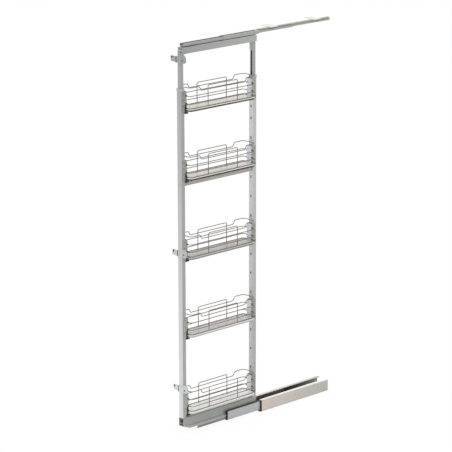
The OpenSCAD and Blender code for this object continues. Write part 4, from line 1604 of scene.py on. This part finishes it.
def post_finishes() -> list[TubeFinish]:
    """Makes the finish of each post, its painted shade inside found from the post's own box.

    Every row has the post, its level of grey set per post as painted light, its painted light along Z
    as start, end, first and last, that of its faces that look forward, and the painted shade inside.

    Returns:
        The finishes.
    """
    dark, grey = srgb(45, 45, 44), srgb(112, 112, 110)
    made = []
    for name, node, level, painted_light_fade, face, inner in (
        ("front post", "front_lower", 167, (0.3, 1.8, 1.02, 1.0), (0.3, 1.85, 1.84, 1.07), dark),
        ("front upper", "front_upper", 166, (1.8, 1.95, 1.0, 0.98), (1.8, 1.95, 1.06, 1.04), dark),
        ("rear post", "rear_lower", 184, (0.5, 1.3, 0.94, 1.14), (0.5, 1.2, 1.29, 1.28), dark),
        ("rear upper", "rear_upper", 166, None, (1.8, 1.95, 1.12, 1.12), grey),
    ):
        low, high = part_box(node + "_post")
        light = srgb(level, level + 1, level)
        made.append(TubeFinish(
            name + " zinc", light, shaded(light, DARK_SHARE), 0.2, 0.34, 0.46, Grain.ALONG_Z, 0.03,
            46.0, painted_light_fade=PaintedLightFade(2, *painted_light_fade) if painted_light_fade else None, face=PaintedLightFade(2, *face),
            half=high.x, near=low.y, far=high.y, inner=inner,
        ))
    return made


def finishes() -> list[Finish]:
    """Makes every finish of the unit.

    After a finish's light and dark tone come how metallic it is, its smooth and dull roughness, its
    grain, and how much its zinc clouds show and how many there are in a metre.

    Returns:
        The finishes.
    """
    along, up = Grain.ALONG_Y, Grain.ALONG_Z
    # painted light: the brackets' faces that look along Y are lighter
    bracket_web_light = srgb(206, 206, 212)
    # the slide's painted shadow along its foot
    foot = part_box("middle_profile")[0].z + SHADED_FOOT
    return [
        *post_finishes(),
        *beam_finishes(),
        Finish(
            "bar zinc", srgb(179, 176, 170), srgb(172, 169, 163), 0.2, 0.36, 0.48, along, 0.04, 40.0
        ),
        # painted shade: the rail is darker between two heights on its lower part
        Finish(
            "rail steel", srgb(186, 187, 184), srgb(179, 180, 177), 0.2, 0.3, 0.42, along, 0.05,
            shade_band=PaintedShadeBand(0.010, 0.0275, (0.22, 0.22, 0.21)),
        ),
        # painted shade: darker towards the rear
        Finish(
            "cabinet rail steel", srgb(183, 184, 173), srgb(176, 177, 166), 0.25, 0.32, 0.44, along,
            0.04, painted_light_fade=PaintedLightFade(1, 0.1, 0.4, 1.0, 0.94),
        ),
        Finish("guide steel", srgb(169, 170, 170), srgb(160, 161, 160), 0.25, 0.32, 0.44, along, 0.06),
        *(
            Finish(name, light, dark, 0.1, 0.36, 0.46, grain, 0.03, 80.0)
            for name, light, dark, grain in (
                ("housing paint", srgb(172, 173, 171), srgb(166, 167, 165), along),
                ("collar paint", srgb(184, 185, 184), srgb(178, 179, 178), up),
            )
        ),
        # painted light: faces that look forward are brighter low down
        PlateFinish(
            "bracket plate", srgb(169, 170, 170), srgb(162, 163, 163), 0.2, 0.3, 0.42, up, 0.05, 70.0,
            face=PaintedLightFade(2, 0.3, 1.85, 1.86, 1.05),
        ),
        # bracket zinc (rear) and front bracket zinc are lit and shaded copies, with painted light by
        # height and on forward faces
        Finish(
            "bracket zinc", srgb(158, 160, 152), srgb(148, 151, 143), 0.2, 0.3, 0.42, up, 0.08,
            70.0, web=bracket_web_light, painted_light_fade=PaintedLightFade(2, 0.4, 1.7, 1.0, 1.2), face=PaintedLightFade(2, 0.3, 1.7, 1.22, 1.04),
        ),
        Finish(
            "front bracket zinc", srgb(176, 180, 170), srgb(166, 170, 160), 0.2, 0.3, 0.42, up, 0.08,
            70.0, web=bracket_web_light, painted_light_fade=PaintedLightFade(2, 0.2, 1.7, 1.05, 0.75),
        ),
        # painted shadow: the spacers are near black to stand for the shade in the gap between the rail
        # and the beam
        Finish("spacer gap shadow", srgb(60, 61, 61), srgb(50, 51, 51), 0.1, 0.5, 0.6),
        # painted shadow on the top faces and along the foot, painted shade in the valleys between ribs
        # and inside
        ChannelFinish(
            "slide steel", srgb(193, 194, 195), srgb(185, 187, 189), 0.2, 0.28, 0.4, along, bump=0.08,
            inner_half=0.0319, floor=0.0112, roof=0.0552, dark_until=-0.2, grey_from=0.25,
            painted_far_shade=srgb(193, 194, 195), painted_top_tone=(0.03, 0.03, 0.03), painted_top_from=-1.0,
            painted_rib_shade=0.045, foot=foot,
        ),
        # painted highlight on the near top faces, painted shade inside and towards the rear
        ChannelFinish("channel paint", srgb(218, 205, 195), srgb(212, 200, 190), 0.0, 0.4, 0.5, along),
        Finish("pale plate", srgb(226, 226, 220), srgb(219, 219, 213), 0.1, 0.38, 0.5, along),
        Finish("chrome wire", srgb(136, 132, 124), srgb(118, 114, 106), 0.7, 0.16, 0.26, bump=0.02),
        Finish("bright steel", srgb(190, 191, 194), srgb(176, 177, 180), 0.8, 0.16, 0.28),
        Finish("black moulding", srgb(34, 34, 34), srgb(24, 24, 24), 0.0, 0.42, 0.58),
        Finish("black oxide", srgb(40, 40, 42), srgb(26, 26, 28), 0.5, 0.3, 0.42),
        *tray_finishes(),
    ]


def main() -> None:
    """Loads the frame, builds and dresses every sub-assembly, and sets the stage."""
    logging.basicConfig(level=logging.INFO, format="%(name)s: %(message)s")
    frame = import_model()
    Effects().build()
    wardrobe = Wardrobe(frame, {finish.name: finish.build() for finish in finishes()})
    FrameAndSlides().build(wardrobe)
    for number in BASKETS:
        WireBasket(number).build(wardrobe)
    for assembly in (EndBrackets(), Latches(), BracketBushes(), Fasteners()):
        assembly.build(wardrobe)
    Studio().build()
    LOG.info("%d pieces built", len(wardrobe.pieces))


if __name__ == "__main__":
    main()
